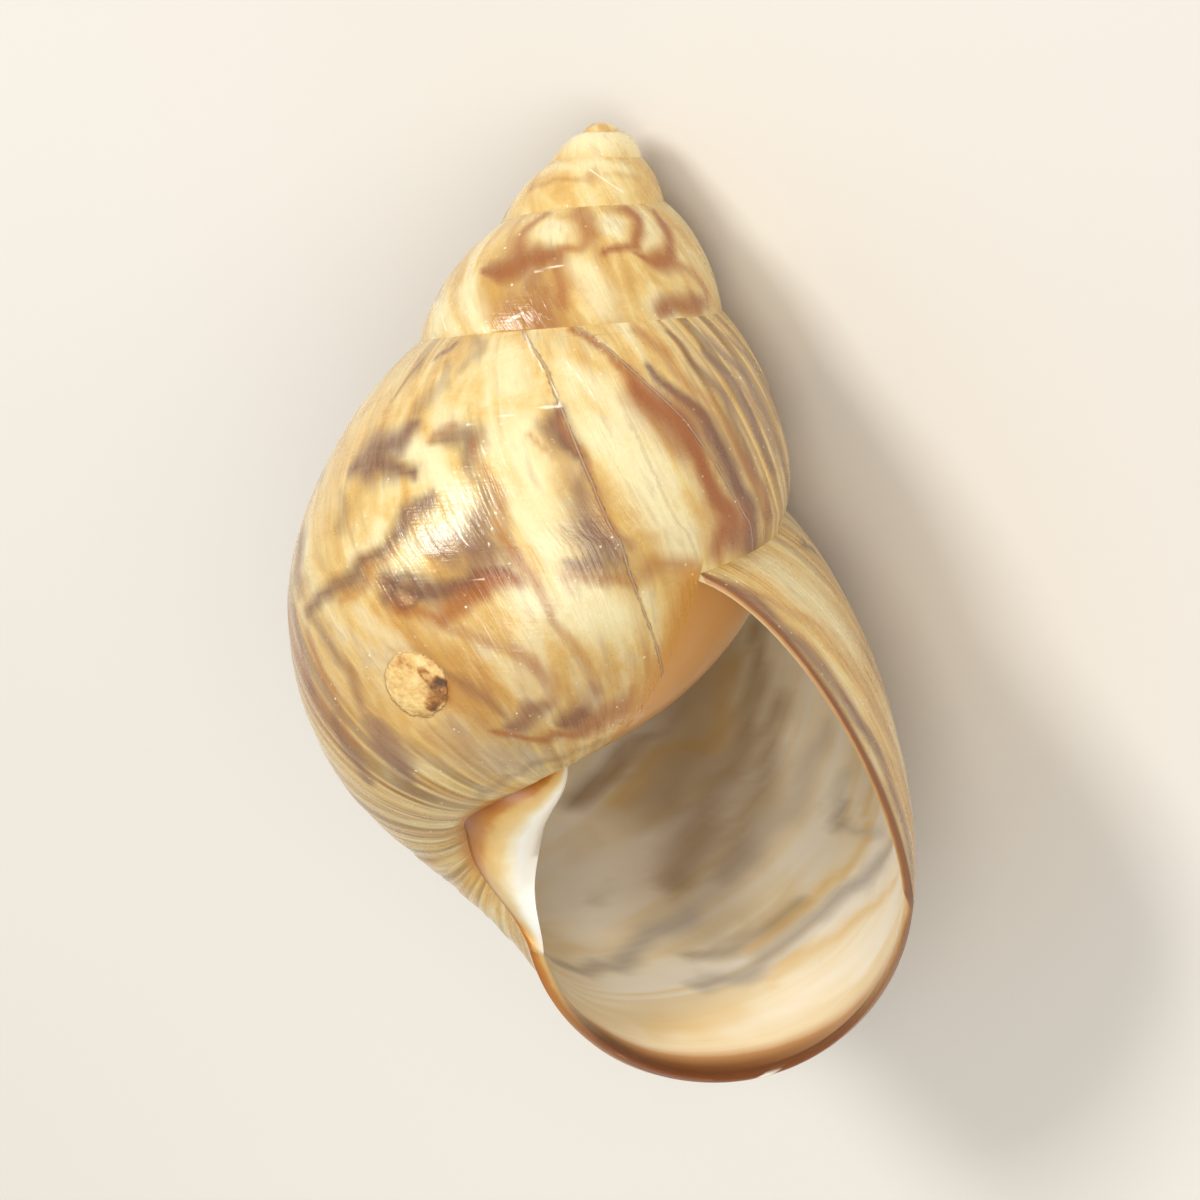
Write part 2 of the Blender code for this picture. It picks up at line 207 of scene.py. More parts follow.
def angle_at_radius(turn, radius, grow=0.0):
    """The angle at which the section's lower side comes in to a given distance from the axis."""
    turn = np.asarray(turn, float)
    return halve(turn, BASE_SEARCH, lambda angle: section_point(turn, angle, grow)[0] > radius)


print("suture, radius in mm at turns 0 to 4:", np.round(meeting(np.arange(5.0))[2], 1))

# %% [markdown]
# ## Growth lines
#
# The lip isn't straight: its lower end runs ahead, so every growth line it leaves behind slants. **slant**
# says by how many turns a growth line lags at each share of the way down. The mesh's rows follow the lip's
# slant at the mouth and stand straight up one turn earlier, so that row 1 fits the spire's first row.

# %% The slant of the lip and the share of the way down
LIP_AZIMUTH = math.radians(-52.6)
LIP_SLANT = (0.262, 0.108, -0.026)
SLANT_FADE = 1.5
LIP_WALL = 0.5


def slant(share):
    """Lag in turns: 0.262 s + 0.108 s^2 - 0.026 s^3."""
    return LIP_SLANT[0] * share + LIP_SLANT[1] * share**2 + LIP_SLANT[2] * share**3


def slanted(turn, share):
    """The place along the tube of a mesh row: turn + slant(share) * (1 - turn)^1.5."""
    return turn + slant(share) * np.clip(1 - turn, 0, 1) ** SLANT_FADE


def share_down(turn, angle):
    """The share of the way from suture to pillar, by angle round the section."""
    top = meeting(turn)[0]
    bottom = angle_at_radius(turn, fold_radius(np.minimum(turn, 1)))
    return np.clip((angle - top) / (bottom - top), 0, 1)


def place(turn, radius, depth):
    """A point in space with the axis upright: angle round it = lip azimuth + 2 pi turn."""
    azimuth = LIP_AZIMUTH + 2 * math.pi * turn
    return np.stack([radius * np.cos(azimuth), radius * np.sin(azimuth), -depth], axis=-1)


one_turn = np.array(1.0)
OUTER_CORNER = float(share_down(one_turn, meeting(np.array(0.0))[1]))
INNER_CORNER = float(share_down(one_turn, meeting(np.array(0.0), LIP_WALL)[1]))
print("the lip joins the older whorl at shares", round(OUTER_CORNER, 3), "and", round(INNER_CORNER, 3))

# %% [markdown]
# ## The skin, patch by patch
#
# The outer skin is two sheets over (turn, share): the last whorl, and the older whorls that still show above
# it. One ring scaled along a helix could not follow the suture, so each sheet is worked out as one array. Its
# points carry numbers for the paint too: the growth line that each lies on, and its share of the way down.

# %% How fine the mesh is
ROWS_A_TURN = 240
COLUMNS_ABOVE = 40
COLUMNS_BELOW = 78
LAST_TURN_OF_TUBE = 5.25
NUCLEUS_TURNS = 0.6
FINE_FROM = 0.55
FINE_CHANGE = 0.1
FINE_BY = 2.0
DENSITY_SAMPLES = 2001
TIP_RINGS = 6
TIP_ROUNDING = 1.8

# Rows lie closer on the mouth's side, where the growth stops and flames are: the row's place is the running
# sum of a density that eases from 1 to FINE_BY a little more than half a turn back.
spot = np.linspace(0, 1, DENSITY_SAMPLES)
density = 1 + (FINE_BY - 1) * ease((spot - FINE_FROM) / FINE_CHANGE)
running = np.concatenate([[0], np.cumsum((density[1:] + density[:-1]) / 2)])
row_turn = np.interp(np.linspace(0, 1, ROWS_A_TURN + 1), running / running[-1], spot)
last_row = int(np.argmin(np.abs(row_turn - LAST_TURN_OF_TUBE % 1)))
spire_rows = np.arange(int(LAST_TURN_OF_TUBE - 1) * ROWS_A_TURN + last_row + 1)
spire_row_turn = 1 + spire_rows // ROWS_A_TURN + row_turn[spire_rows % ROWS_A_TURN]
TUBE_END = float(spire_row_turn[-1])

column_share = np.concatenate([np.linspace(0, OUTER_CORNER, COLUMNS_ABOVE + 1),
                               np.linspace(INNER_CORNER, 1, COLUMNS_BELOW)])
print(ROWS_A_TURN, "rows a turn,", len(column_share), "columns, tube ends at turn", round(TUBE_END, 2))


# %% The two sheets of the outer skin, and the tip
def last_whorl():
    """Rows follow the lip: angle = top + (bottom - top) * share, at turn = slanted(row, share)."""
    share = column_share[None, :]
    turn = slanted(row_turn[:, None], share)
    top = meeting(turn)[0]
    bottom = angle_at_radius(turn, fold_radius(turn))
    return place(turn, *section_point(turn, top + (bottom - top) * share)), turn, share + 0 * turn


def spire():
    """Upright rows from a whorl's own suture to the next: angle = top + (bottom - top) * share.

    Over the nucleus, the last 0.6 turn, top eases to bottom, so the rows shrink to nothing.
    """
    turn = spire_row_turn[:, None]
    top = meeting(turn)[0]
    bottom = meeting(turn - 1)[1]
    top = top + (bottom - top) * ease((turn - TUBE_END) / NUCLEUS_TURNS + 1)
    turn = turn + np.zeros(COLUMNS_ABOVE + 1)
    angle = top + (bottom - top) * np.linspace(0, 1, COLUMNS_ABOVE + 1)
    return place(turn, *section_point(turn, angle)), turn, share_down(turn, angle)


def tip(edge):
    """Rings over the open end of the nucleus: radius * r and height * r^1.8, with r from 1 down to 0."""
    ring = np.linspace(1, 0, TIP_RINGS + 2)[:, None, None]
    closed = np.concatenate([edge, edge[:1]])
    return np.concatenate([closed[None, :, :2] * ring, closed[None, :, 2:] * ring**TIP_ROUNDING], axis=-1)


last_points, last_turn, last_share = last_whorl()
spire_points, spire_turn, spire_share = spire()
tip_points = tip(spire_points[-ROWS_A_TURN:, 0])
print("last whorl", last_points.shape, "spire", spire_points.shape, "tip", tip_points.shape)

# %% The growth line that a point lies on
GROWTH_SLANT = 0.7
LIP_REACH = 0.5


def growth_line(turn, share):
    """The growth line through a point, by the turn where it meets the suture: turn - slant(share) * lag.

    lag is 1 at the lip, whose slant the newest lines keep, and 0.7 from half a turn back.
    """
    lag = GROWTH_SLANT + (1 - GROWTH_SLANT) * ease(1 - turn / LIP_REACH)
    return turn - slant(share) * lag


last_line = growth_line(last_turn, last_share)
spire_line = growth_line(spire_turn, spire_share)
print("growth lines on the last whorl: from", round(last_line.min(), 2), "to", round(last_line.max(), 2))

# %% [markdown]
# ## The hollow
#
# Looking into the mouth one sees the inside of the tube. It is the same whorl drawn smaller by the wall's
# thickness, with the older whorl as its ceiling and the pillar, the **columella**, as its inner side.
# Solidify could thicken the skin, but the wall has to thin out at the lip and end in the pillar, so the
# inside is worked out from the same sections. Rows are close together by the mouth, where they show, and far
# apart deep inside.

# %% Wall, glaze and pillar
WALL = 1.1
WALL_TURNS = 0.8
PILLAR_WALL = 0.5
PILLAR_WALL_POWER = 6
CALLUS = 0.35
CALLUS_TURNS = 0.12
FULL_WALL_RADIUS = 12.0
EDGE_RADIUS_TOP = 2.6
EDGE_RADIUS_BOTTOM = 4.6
WAIST_RADIUS = 0.85
WAIST = 0.42
UPPER_FLARE = 2
LOWER_FLARE = 2.5
PILLAR_RADIUS = 1.2
PILLAR_FADE = 0.45


def wall(turn, share):
    """Lip wall, growing evenly to the full wall over 0.8 turn, plus 0.5 mm * share^6 towards the pillar."""
    size = np.minimum(1, np.exp(log_radius(turn)) / FULL_WALL_RADIUS)
    thicker = (WALL - LIP_WALL) * np.clip(turn / WALL_TURNS, 0, 1)
    return size * (LIP_WALL + thicker + PILLAR_WALL * share**PILLAR_WALL_POWER)


def callus(turn):
    """Glaze on the older whorl: 0.35 mm * turn / 0.12, then held, and less where the whorl is small."""
    size = np.minimum(1, np.exp(log_radius(turn + 1)) / FULL_WALL_RADIUS)
    return size * CALLUS * np.clip(turn / CALLUS_TURNS, 0, 1)


def pillar_radius(turn, share):
    """A waist that widens up by the square and down by the 2.5th power; deep inside, one radius all along."""
    inner = PILLAR_RADIUS * np.minimum(1, np.exp(log_radius(turn)) / FULL_WALL_RADIUS)
    up = np.clip((share - WAIST) / (1 - WAIST), 0, 1)
    down = np.clip((WAIST - share) / WAIST, 0, 1)
    edge = WAIST_RADIUS + (EDGE_RADIUS_TOP - WAIST_RADIUS) * up**UPPER_FLARE
    edge = edge + (EDGE_RADIUS_BOTTOM - WAIST_RADIUS) * down**LOWER_FLARE
    return edge + (inner - edge) * ease(turn / PILLAR_FADE)


print("wall in mm at the lip and 1 turn back:", np.round([wall(0.0, 0.0), wall(1.0, 0.0)], 2))

# %% The inside of the tube as one array of closed loops
HOLLOW_DENSE_TURNS = 0.42
LAST_TURN_OF_HOLLOW = 2.25
DENSE_ROWS = 64
DEEP_ROWS = 36
PILLAR_COLUMNS = COLUMNS_ABOVE + 1
HOLLOW_PASSES = 4


def hollow(mouth):
    """Loops down the outer wall, up the pillar and back along the older whorl, a wall's depth under the skin.

    Down the wall angle = high + (low - high) * share; up the pillar radius = pillar_radius(turn, climb), with
    turn and depth running evenly; back along the older whorl angle = corner + (end - corner) * back. The
    mouth's own loop ends on the given row of the skin.
    """
    turn = np.concatenate([np.linspace(0, HOLLOW_DENSE_TURNS, DENSE_ROWS, endpoint=False),
                           np.linspace(HOLLOW_DENSE_TURNS, LAST_TURN_OF_HOLLOW, DEEP_ROWS)])[:, None]
    share = column_share[None, :]
    growth = slanted(turn, share)
    for _ in range(HOLLOW_PASSES):
        thickness = wall(growth, share)
        high = meeting(growth, thickness, callus(growth))[0]
        low = angle_at_radius(growth, pillar_radius(turn, 0.0), -thickness)
        angle = high + (low - high) * share
        growth = slanted(turn, share_down(growth, angle))
    outer = place(growth, *section_point(growth, angle, -wall(growth, share)))

    corner = meeting(turn, wall(turn, 0), callus(turn))[1]
    end = angle_at_radius(turn + 1, pillar_radius(turn, 1.0), callus(turn))
    back = np.linspace(1, 0, COLUMNS_BELOW)[None, :]
    older = turn + 1 + 0 * back
    ceiling = place(older, *section_point(older, corner + (end - corner) * back, callus(turn)))

    climb = np.linspace(0, 1, PILLAR_COLUMNS + 1)[None, :]
    around = growth[:, -1:] * (1 - climb) + turn * climb
    depth = -outer[:, -1:, 2] * (1 - climb) - ceiling[:, :1, 2] * climb
    pillar = place(around, pillar_radius(turn, climb), depth)

    pillar[:, 0] = outer[:, -1]
    ceiling[0] = mouth[::-1]
    pillar[0, -1] = mouth[-1]
    outer[0, 0] = mouth[0]
    return outer, pillar, ceiling, turn


outer_wall, pillar, ceiling, hollow_turn = hollow(last_points[-1, COLUMNS_ABOVE + 1:])
print("outer wall", outer_wall.shape, "pillar", pillar.shape, "ceiling", ceiling.shape)

# %% [markdown]
# ## The lip and the fold over the pillar
#
# The lip's edge is half a millimetre thick and rounded. Below, it runs on over the pillar as a broad
# enamelled fold. Both are strips between two edges that are already there: straight across, plus a swelling
# of sin(pi * s) for the lip and 4 s (1 - s) for the fold.

# %% Strips between two edges
RIM_ROWS = 6
RIM_BULGE = 0.3
FOLD_CHAINS = RIM_ROWS
FOLD_COLUMNS = 160
FOLD_BULGE = 0.40


def rim(outer_edge, inner_edge):
    """Rows over the lip: outer + s * across + 0.3 * width * sin(pi s) * forward."""
    across = inner_edge - outer_edge
    forward = np.cross(across, np.gradient(outer_edge, axis=0))
    forward /= np.linalg.norm(forward, axis=1)[:, None] + 1e-9
    width = np.linalg.norm(across, axis=1)[:, None]
    s = (np.arange(1, RIM_ROWS + 1) / (RIM_ROWS + 1))[:, None, None]
    rows = outer_edge + across * s + forward * width * RIM_BULGE * np.sin(math.pi * s)
    rows[:, 0] = outer_edge[0]
    return np.concatenate([outer_edge[None], rows, inner_edge[None]])


def resample(chain, count):
    """Points at even distances along a chain."""
    length = np.concatenate([[0], np.cumsum(np.linalg.norm(np.diff(chain, axis=0), axis=1))])
    spot = np.linspace(0, length[-1], count)
    return np.stack([np.interp(spot, length, chain[:, k]) for k in range(3)], axis=-1)


def fold_over_pillar(fold, edge, bottom):
    """Chains from the fold to the free edge: outer + s * across + 4 s (1 - s) * outward.

    outward stands square to across, is 0.4 of it long and eases in over the lower half.
    """
    outer = resample(fold, FOLD_COLUMNS + 1)
    inner = resample(edge, FOLD_COLUMNS + 1)
    across = inner - outer
    up = ease(np.linspace(0, 2, FOLD_COLUMNS + 1))[:, None]
    outward = np.stack([across[:, 1], -across[:, 0], 0 * across[:, 2]], axis=-1) * FOLD_BULGE * up
    s = (np.arange(1, FOLD_CHAINS + 1) / (FOLD_CHAINS + 1))[:, None, None]
    chains = outer + across * s + outward * 4 * s * (1 - s)
    chains[:, 0] = bottom
    chains[:, -1] = fold[-1]
    return chains


lip_rows = rim(last_points[0], outer_wall[0])
fold_rows = fold_over_pillar(last_points[:, -1], pillar[0], lip_rows[1:-1, -1])
print("lip", lip_rows.shape, "fold", fold_rows.shape)

# %% [markdown]
# ## One closed mesh
#
# The sheets are kept apart until the end, because each point's paint numbers belong to its own sheet: at the
# suture one point lies at the bottom of one whorl and at the top of the next. So the numbers go on the mesh's
# face corners, in UV maps and attributes, and only the points themselves are welded.

# %% Gather the sheets
OUTSIDE, INSIDE, ENAMEL = range(3)
sheet_points = []
sheet_paint = []
triangles = []


def add_sheet(finish, points, line, share, relief=0.0, glaze=0.0):
    """Adds points with their finish and paint numbers, and gives back their numbers as a grid.

    line and share place the paint; relief and glaze, 0 to 1, say how much of each the point may get.
    """
    first = sum(len(kept) for kept in sheet_points)
    spread = [np.broadcast_to(number, points.shape[:-1]) for number in (finish, line, share, relief, glaze)]
    sheet_points.append(points.reshape(-1, 3))
    sheet_paint.append(np.stack(spread, axis=-1).reshape(-1, 5))
    return first + np.arange(points[..., 0].size).reshape(points.shape[:-1])


def cover(numbers):
    """Two triangles for each cell of a grid of point numbers."""
    a, b, c, d = numbers[:-1, :-1], numbers[:-1, 1:], numbers[1:, 1:], numbers[1:, :-1]
    triangles.append(np.stack([a, b, c], axis=-1).reshape(-1, 3))
    triangles.append(np.stack([a, c, d], axis=-1).reshape(-1, 3))


def zip_up(one, other):
    """Joins two rows with different counts: each step on one reaches the point as far along on the other."""
    middle = [(np.arange(len(row) - 1) + 0.5) / (len(row) - 1) for row in (one, other)]
    there = np.searchsorted(middle[1], middle[0])
    back = np.searchsorted(middle[0], middle[1], side="right")
    triangles.append(np.stack([one[:-1], one[1:], other[there]], axis=-1))
    triangles.append(np.stack([one[back], other[1:], other[:-1]], axis=-1))


print("finishes: outside", OUTSIDE, "inside", INSIDE, "enamel", ENAMEL)

# %% Put in the skin's sheets
# Relief dies out at a sheet's edges, so that the sheets still meet; glaze runs along the mouth's upper side.
EDGE_FADE = 0.06
MOUTH_FADE = 0.02
CORNER_FADE = 0.03
GLAZE_WIDTH = 3.2
back_from_mouth = (1 - row_turn)[:, None]
by_mouth = ease((last_share - OUTER_CORNER) / CORNER_FADE + 1)
near_mouth = (1 - ease(back_from_mouth / MOUTH_FADE)) * by_mouth
last_relief = ease(last_share / (EDGE_FADE * OUTER_CORNER)) * ease((1 - last_share) / EDGE_FADE)
last_relief = last_relief * ease(row_turn[:, None] / MOUTH_FADE) * (1 - near_mouth)
last_glaze = by_mouth * (1 - ease(back_from_mouth * 2 * math.pi * WIDEST_RADIUS[4] / GLAZE_WIDTH))
spire_column = np.linspace(0, 1, COLUMNS_ABOVE + 1)
spire_relief = ease(spire_column / EDGE_FADE) * ease((1 - spire_column) / EDGE_FADE)

cover(add_sheet(OUTSIDE, last_points, last_line, last_share, last_relief, last_glaze))
cover(add_sheet(OUTSIDE, spire_points, spire_line, spire_share, spire_relief))
tip_turn = np.append(spire_turn[-ROWS_A_TURN:, 0], TUBE_END)
cover(add_sheet(OUTSIDE, tip_points, tip_turn, 0.0))
print("sheets of the skin:", len(sheet_points))

# %% Put in the inside, the rim and the fold
# The inside's second number runs on round the loop: 0 to 1 down the wall, 1 to 2 up the pillar, 2 to 3 back.
loops = np.concatenate([outer_wall, pillar[:, 1:], ceiling[:, 1:-1], outer_wall[:, :1]], axis=1)
loop_share = np.concatenate([column_share, 1 + np.arange(1, PILLAR_COLUMNS + 1) / PILLAR_COLUMNS,
                             2 + np.arange(1, COLUMNS_BELOW) / (COLUMNS_BELOW - 1)])
inside = add_sheet(INSIDE, loops, hollow_turn, loop_share)
cover(inside)
half_way = len(column_share)
cover(np.stack([inside[-1, :half_way], inside[-1, half_way - 1:][::-1]]))

across = np.linspace(0, 1, RIM_ROWS + 2)[:, None]
cover(add_sheet(ENAMEL, lip_rows, across, column_share[None, :]))
fold_along = 1 + np.linspace(0, 1, FOLD_COLUMNS + 1)[None, :]
fold = add_sheet(ENAMEL, fold_rows, across[1:-1], fold_along)
cover(fold)
fold_top = add_sheet(ENAMEL, last_points[:, -1], 0.0, 1 + np.linspace(0, 1, ROWS_A_TURN + 1))
fold_edge = add_sheet(ENAMEL, pillar[0], 1.0, 1 + np.linspace(0, 1, PILLAR_COLUMNS + 1))
zip_up(fold_top, fold[0])
zip_up(fold[-1], fold_edge)

points = np.concatenate(sheet_points)
paint = np.concatenate(sheet_paint)
faces = np.concatenate(triangles)
print(len(points), "points and", len(faces), "triangles before welding")

# %% Weld the sheets
WELD = 0.0005


def weld(points, faces):
    """One number for all points in the same cell of a 0.5 micrometre grid; faces shrunk to a line go."""
    cells = np.round(points / WELD).astype(np.int64)
    _, kept, joined = np.unique(cells, axis=0, return_index=True, return_inverse=True)
    welded = joined.reshape(-1)[faces]
    whole = np.all(welded != np.roll(welded, -1, axis=1), axis=1)
    return kept, welded[whole], whole


kept, welded_faces, whole = weld(points, faces)
corner_source = faces[whole]
edges = np.sort(np.stack([welded_faces, np.roll(welded_faces, -1, axis=1)], axis=-1).reshape(-1, 2), axis=1)
uses = np.unique(edges, axis=0, return_counts=True)[1]
open_edges = int((uses != 2).sum())
print(len(kept), "points,", len(welded_faces), "triangles, edges not shared by two faces:", open_edges)

# %% [markdown]
# ## Where the colours go
#
# The animal's mantle lays pigment down at the lip, so nearly every mark follows a growth line. Painting a
# picture on the shell would be one way, but then the marks would ignore how it grew. Here each mark is a
# **stroke**: a strength and a few places, each told as growth line, share down the whorl and half width in
# millimetres. A stroke gives every point a number between 0 and 1, and the shader turns that soft number
# into a ragged, translucent edge. Many of the places were picked by eye, turned into growth lines and shares
# by a helper outside this script, and then moved by hand. The marks on the far side are drawn by the same
# rule with seeded random places.

# %% Distances on the skin
PROFILE_LENGTH = 2.6
TABLE_TURNS = 6
TABLE_ROWS = 3001

kind, line, share, relief_share, glaze_share = paint.T
around = 2 * math.pi * np.hypot(points[:, 0], points[:, 1])
down = PROFILE_LENGTH * np.exp(log_radius(np.clip(line, 0, LAST_TURN_OF_TUBE)))

# arc is the way back from the lip in mm: the running sum of the whorl's own circumference.
table_line = np.linspace(0, TABLE_TURNS, TABLE_ROWS)
table_steps = 2 * math.pi * np.exp(log_radius(table_line[1:])) * np.diff(table_line)
arc = np.interp(line, table_line, np.concatenate([[0], np.cumsum(table_steps)]))
print("way round the shell from the lip back to the tip:", round(float(arc.max())), "mm")

# %% Strokes
# Places are shifted a little by slow waves, so that no edge runs straight: size, length and phase, in mm.
WAVES = ((0.22, 6.1, 0.4), (0.12, 3.7, 2.2), (0.05, 2.1, 4.1))
warped_line = line + sum(size * np.sin(2 * math.pi * (share * down + arc / 3) / length + phase)
                         for size, length, phase in WAVES) / around
warped_share = share + sum(size * np.sin(2 * math.pi * (arc - share * down / 2) / length + 2 * phase)
                           for size, length, phase in WAVES) / down


def brush(path, line=warped_line, share=warped_share):
    """How far a point is from a brush stroke: least distance to the path over the path's half width there.

    A step in line is worth the circumference there, a step in share 2.6 times the whorl's radius.
    """
    nearest = np.full(line.shape, np.inf)
    for (line0, share0, width0), (line1, share1, width1) in zip(path[:-1], path[1:]):
        ax, ay = (line - line0) * around, (share - share0) * down
        bx, by = (line1 - line0) * around, (share1 - share0) * down
        along = np.clip((ax * bx + ay * by) / (bx * bx + by * by + 1e-9), 0, 1)
        distance = np.hypot(ax - along * bx, ay - along * by)
        nearest = np.minimum(nearest, distance / (width0 + (width1 - width0) * along))
    return nearest


SOFT_EDGE = 2.6


def painted(strokes):
    """The strongest stroke at every point: strength * (1 - ease(distance in half widths / 2.6))."""
    return np.max([strength * (1 - ease(brush(path) / SOFT_EDGE)) for strength, path in strokes], axis=0)


print("a stroke is at half its strength", SOFT_EDGE / 2, "half widths from its path")

# %% Umber strokes, the dark brown of the flames: strength, then places as (growth line, share, half width)
UMBER = (
    (0.85, ((0.676, 0.242, 0.35), (0.698, 0.236, 1.1), (0.712, 0.22, 0.9), (0.726, 0.203, 0.6),
            (0.738, 0.19, 0.3))),
    (0.9, ((0.696, 0.244, 0.9), (0.716, 0.254, 0.8), (0.737, 0.262, 0.35))),
    (0.8, ((0.752, 0.222, 0.15), (0.765, 0.218, 0.55), (0.779, 0.215, 0.75), (0.781, 0.245, 0.5),
           (0.779, 0.27, 0.3))),
    (0.6, ((0.779, 0.27, 0.3), (0.78, 0.305, 0.25), (0.777, 0.34, 0.45), (0.769, 0.37, 0.7))),
    (0.7, ((0.769, 0.365, 0.6), (0.763, 0.4, 1.0), (0.757, 0.43, 1.3), (0.752, 0.455, 1.1))),
    (0.6, ((0.733, 0.425, 0.6), (0.742, 0.44, 1.0), (0.757, 0.44, 1.2))),
    (0.95, ((0.69, 0.478, 0.45), (0.702, 0.489, 0.7), (0.722, 0.486, 0.5), (0.745, 0.478, 0.55),
            (0.764, 0.463, 0.45))),
    (0.85, ((0.6, 0.462, 0.3), (0.618, 0.462, 0.4), (0.64, 0.452, 0.5), (0.663, 0.437, 0.6),
            (0.682, 0.41, 0.55), (0.7, 0.385, 0.4), (0.716, 0.355, 0.45), (0.735, 0.325, 0.45),
            (0.748, 0.3, 0.25))),
    (0.6, ((0.6, 0.32, 0.5), (0.604, 0.36, 0.8), (0.598, 0.4, 0.8), (0.59, 0.43, 0.4))),
    (0.45, ((0.6, 0.22, 0.4), (0.622, 0.235, 0.4))),
    (0.4, ((0.665, 0.28, 0.3), (0.672, 0.31, 0.6), (0.668, 0.345, 0.5))),
    (0.85, ((0.762, 0.015, 0.12), (0.745, 0.045, 0.16), (0.735, 0.065, 0.1))),
    (0.75, ((0.722, 0.065, 0.1), (0.712, 0.09, 0.14), (0.709, 0.115, 0.12), (0.707, 0.14, 0.1))),
    (0.45, ((0.752, 0.06, 0.2), (0.763, 0.085, 0.35), (0.764, 0.11, 0.35), (0.752, 0.14, 0.4),
            (0.742, 0.163, 0.45))),
    (0.4, ((0.785, 0.02, 0.4), (0.79, 0.05, 0.5), (0.782, 0.085, 0.35))),
    (0.9, ((0.851, 0.182, 0.4), (0.847, 0.205, 0.75), (0.847, 0.232, 0.6), (0.849, 0.252, 0.25))),
    (0.5, ((0.849, 0.27, 0.15), (0.844, 0.31, 0.3), (0.839, 0.345, 0.55), (0.837, 0.375, 0.8))),
    (0.8, ((0.838, 0.375, 0.6), (0.833, 0.41, 1.1), (0.83, 0.44, 1.15), (0.817, 0.456, 0.55),
           (0.803, 0.46, 0.25))),
    (0.95, ((0.918, 0.15, 0.35), (0.928, 0.19, 0.9), (0.936, 0.225, 0.8), (0.938, 0.27, 0.4),
            (0.937, 0.32, 0.4))),
    (0.85, ((0.938, 0.32, 0.4), (0.939, 0.37, 0.7), (0.939, 0.42, 0.8))),
    (0.8, ((0.68, 0.484, 0.4), (0.692, 0.489, 0.7), (0.706, 0.486, 0.6))),
    (1.0, ((0.932, 0.1, 0.2), (0.948, 0.15, 0.4), (0.957, 0.2, 0.6), (0.96, 0.26, 0.65), (0.96, 0.32, 0.65),
           (0.959, 0.37, 0.75), (0.957, 0.43, 0.9))),
    (0.75, ((0.975, 0.03, 0.15), (0.98, 0.08, 0.25), (0.986, 0.13, 0.35), (0.987, 0.18, 0.5),
            (0.986, 0.23, 0.45), (0.985, 0.29, 0.4), (0.985, 0.35, 0.4), (0.985, 0.4, 0.4))),
    (0.7, ((1.005, 0.06, 0.15), (1.012, 0.12, 0.3), (1.014, 0.18, 0.35), (1.011, 0.24, 0.3),
           (1.009, 0.3, 0.3))),
    (0.9, ((0.688, 0.47, 0.7), (0.696, 0.48, 1.0), (0.712, 0.478, 0.8), (0.722, 0.478, 0.5))),
    (0.6, ((1.018, 0.04, 0.15), (1.03, 0.1, 0.3), (1.033, 0.15, 0.35), (1.033, 0.2, 0.3),
           (1.03, 0.26, 0.25))),
    (0.55, ((1.06, 0.05, 0.2), (1.065, 0.13, 0.35), (1.062, 0.22, 0.3))),
    (0.65, ((0.705, 0.728, 0.3), (0.718, 0.716, 0.55), (0.733, 0.7, 0.55), (0.743, 0.683, 0.35))),
    (0.9, ((0.757, 0.727, 0.35), (0.767, 0.713, 0.75), (0.779, 0.703, 0.5))),
    (0.55, ((0.683, 0.595, 0.25), (0.692, 0.625, 0.45), (0.7, 0.655, 0.5), (0.706, 0.69, 0.35))),
    (0.6, ((0.603, 0.655, 0.35), (0.597, 0.69, 0.7), (0.588, 0.73, 0.9), (0.58, 0.765, 0.7),
           (0.572, 0.8, 0.4))),
    (0.6, ((0.565, 0.63, 0.3), (0.553, 0.665, 0.5), (0.543, 0.7, 0.6), (0.533, 0.73, 0.55),
           (0.52, 0.76, 0.35))),
    (0.55, ((0.602, 0.465, 0.5), (0.61, 0.5, 0.4), (0.612, 0.545, 0.4), (0.609, 0.59, 0.4),
            (0.604, 0.64, 0.35))),
    (0.7, ((0.577, 0.455, 0.35), (0.573, 0.49, 0.4), (0.565, 0.53, 0.3), (0.556, 0.58, 0.3))),
    (0.4, ((0.6, 0.925, 0.4), (0.65, 0.88, 0.36), (0.7, 0.832, 0.35), (0.75, 0.81, 0.35),
           (0.79, 0.775, 0.35))),
    (0.9, ((0.001, 0.03, 0.4), (0.004, 0.09, 0.55), (0.008, 0.15, 0.6), (0.013, 0.2, 0.6),
           (0.013, 0.27, 0.55), (0.008, 0.34, 0.45), (0.004, 0.45, 0.3))),
    (0.55, ((0.074, 0.14, 0.15), (0.074, 0.18, 0.25), (0.066, 0.22, 0.3), (0.05, 0.28, 0.3))),
    (0.8, ((0.104, 0.025, 0.15), (0.112, 0.04, 0.3), (0.122, 0.055, 0.2))),
    (0.75, ((1.714, 0.237, 0.2), (1.735, 0.225, 0.6), (1.76, 0.212, 0.8), (1.785, 0.205, 0.8),
            (1.803, 0.2, 0.5))),
    (0.5, ((1.785, 0.25, 0.5), (1.78, 0.3, 0.9), (1.775, 0.345, 1.1), (1.765, 0.385, 1.4))),
    (0.55, ((1.905, 0.365, 0.3), (1.925, 0.348, 0.45), (1.95, 0.335, 0.55), (1.975, 0.33, 0.4))),
)
print(len(UMBER), "umber strokes")

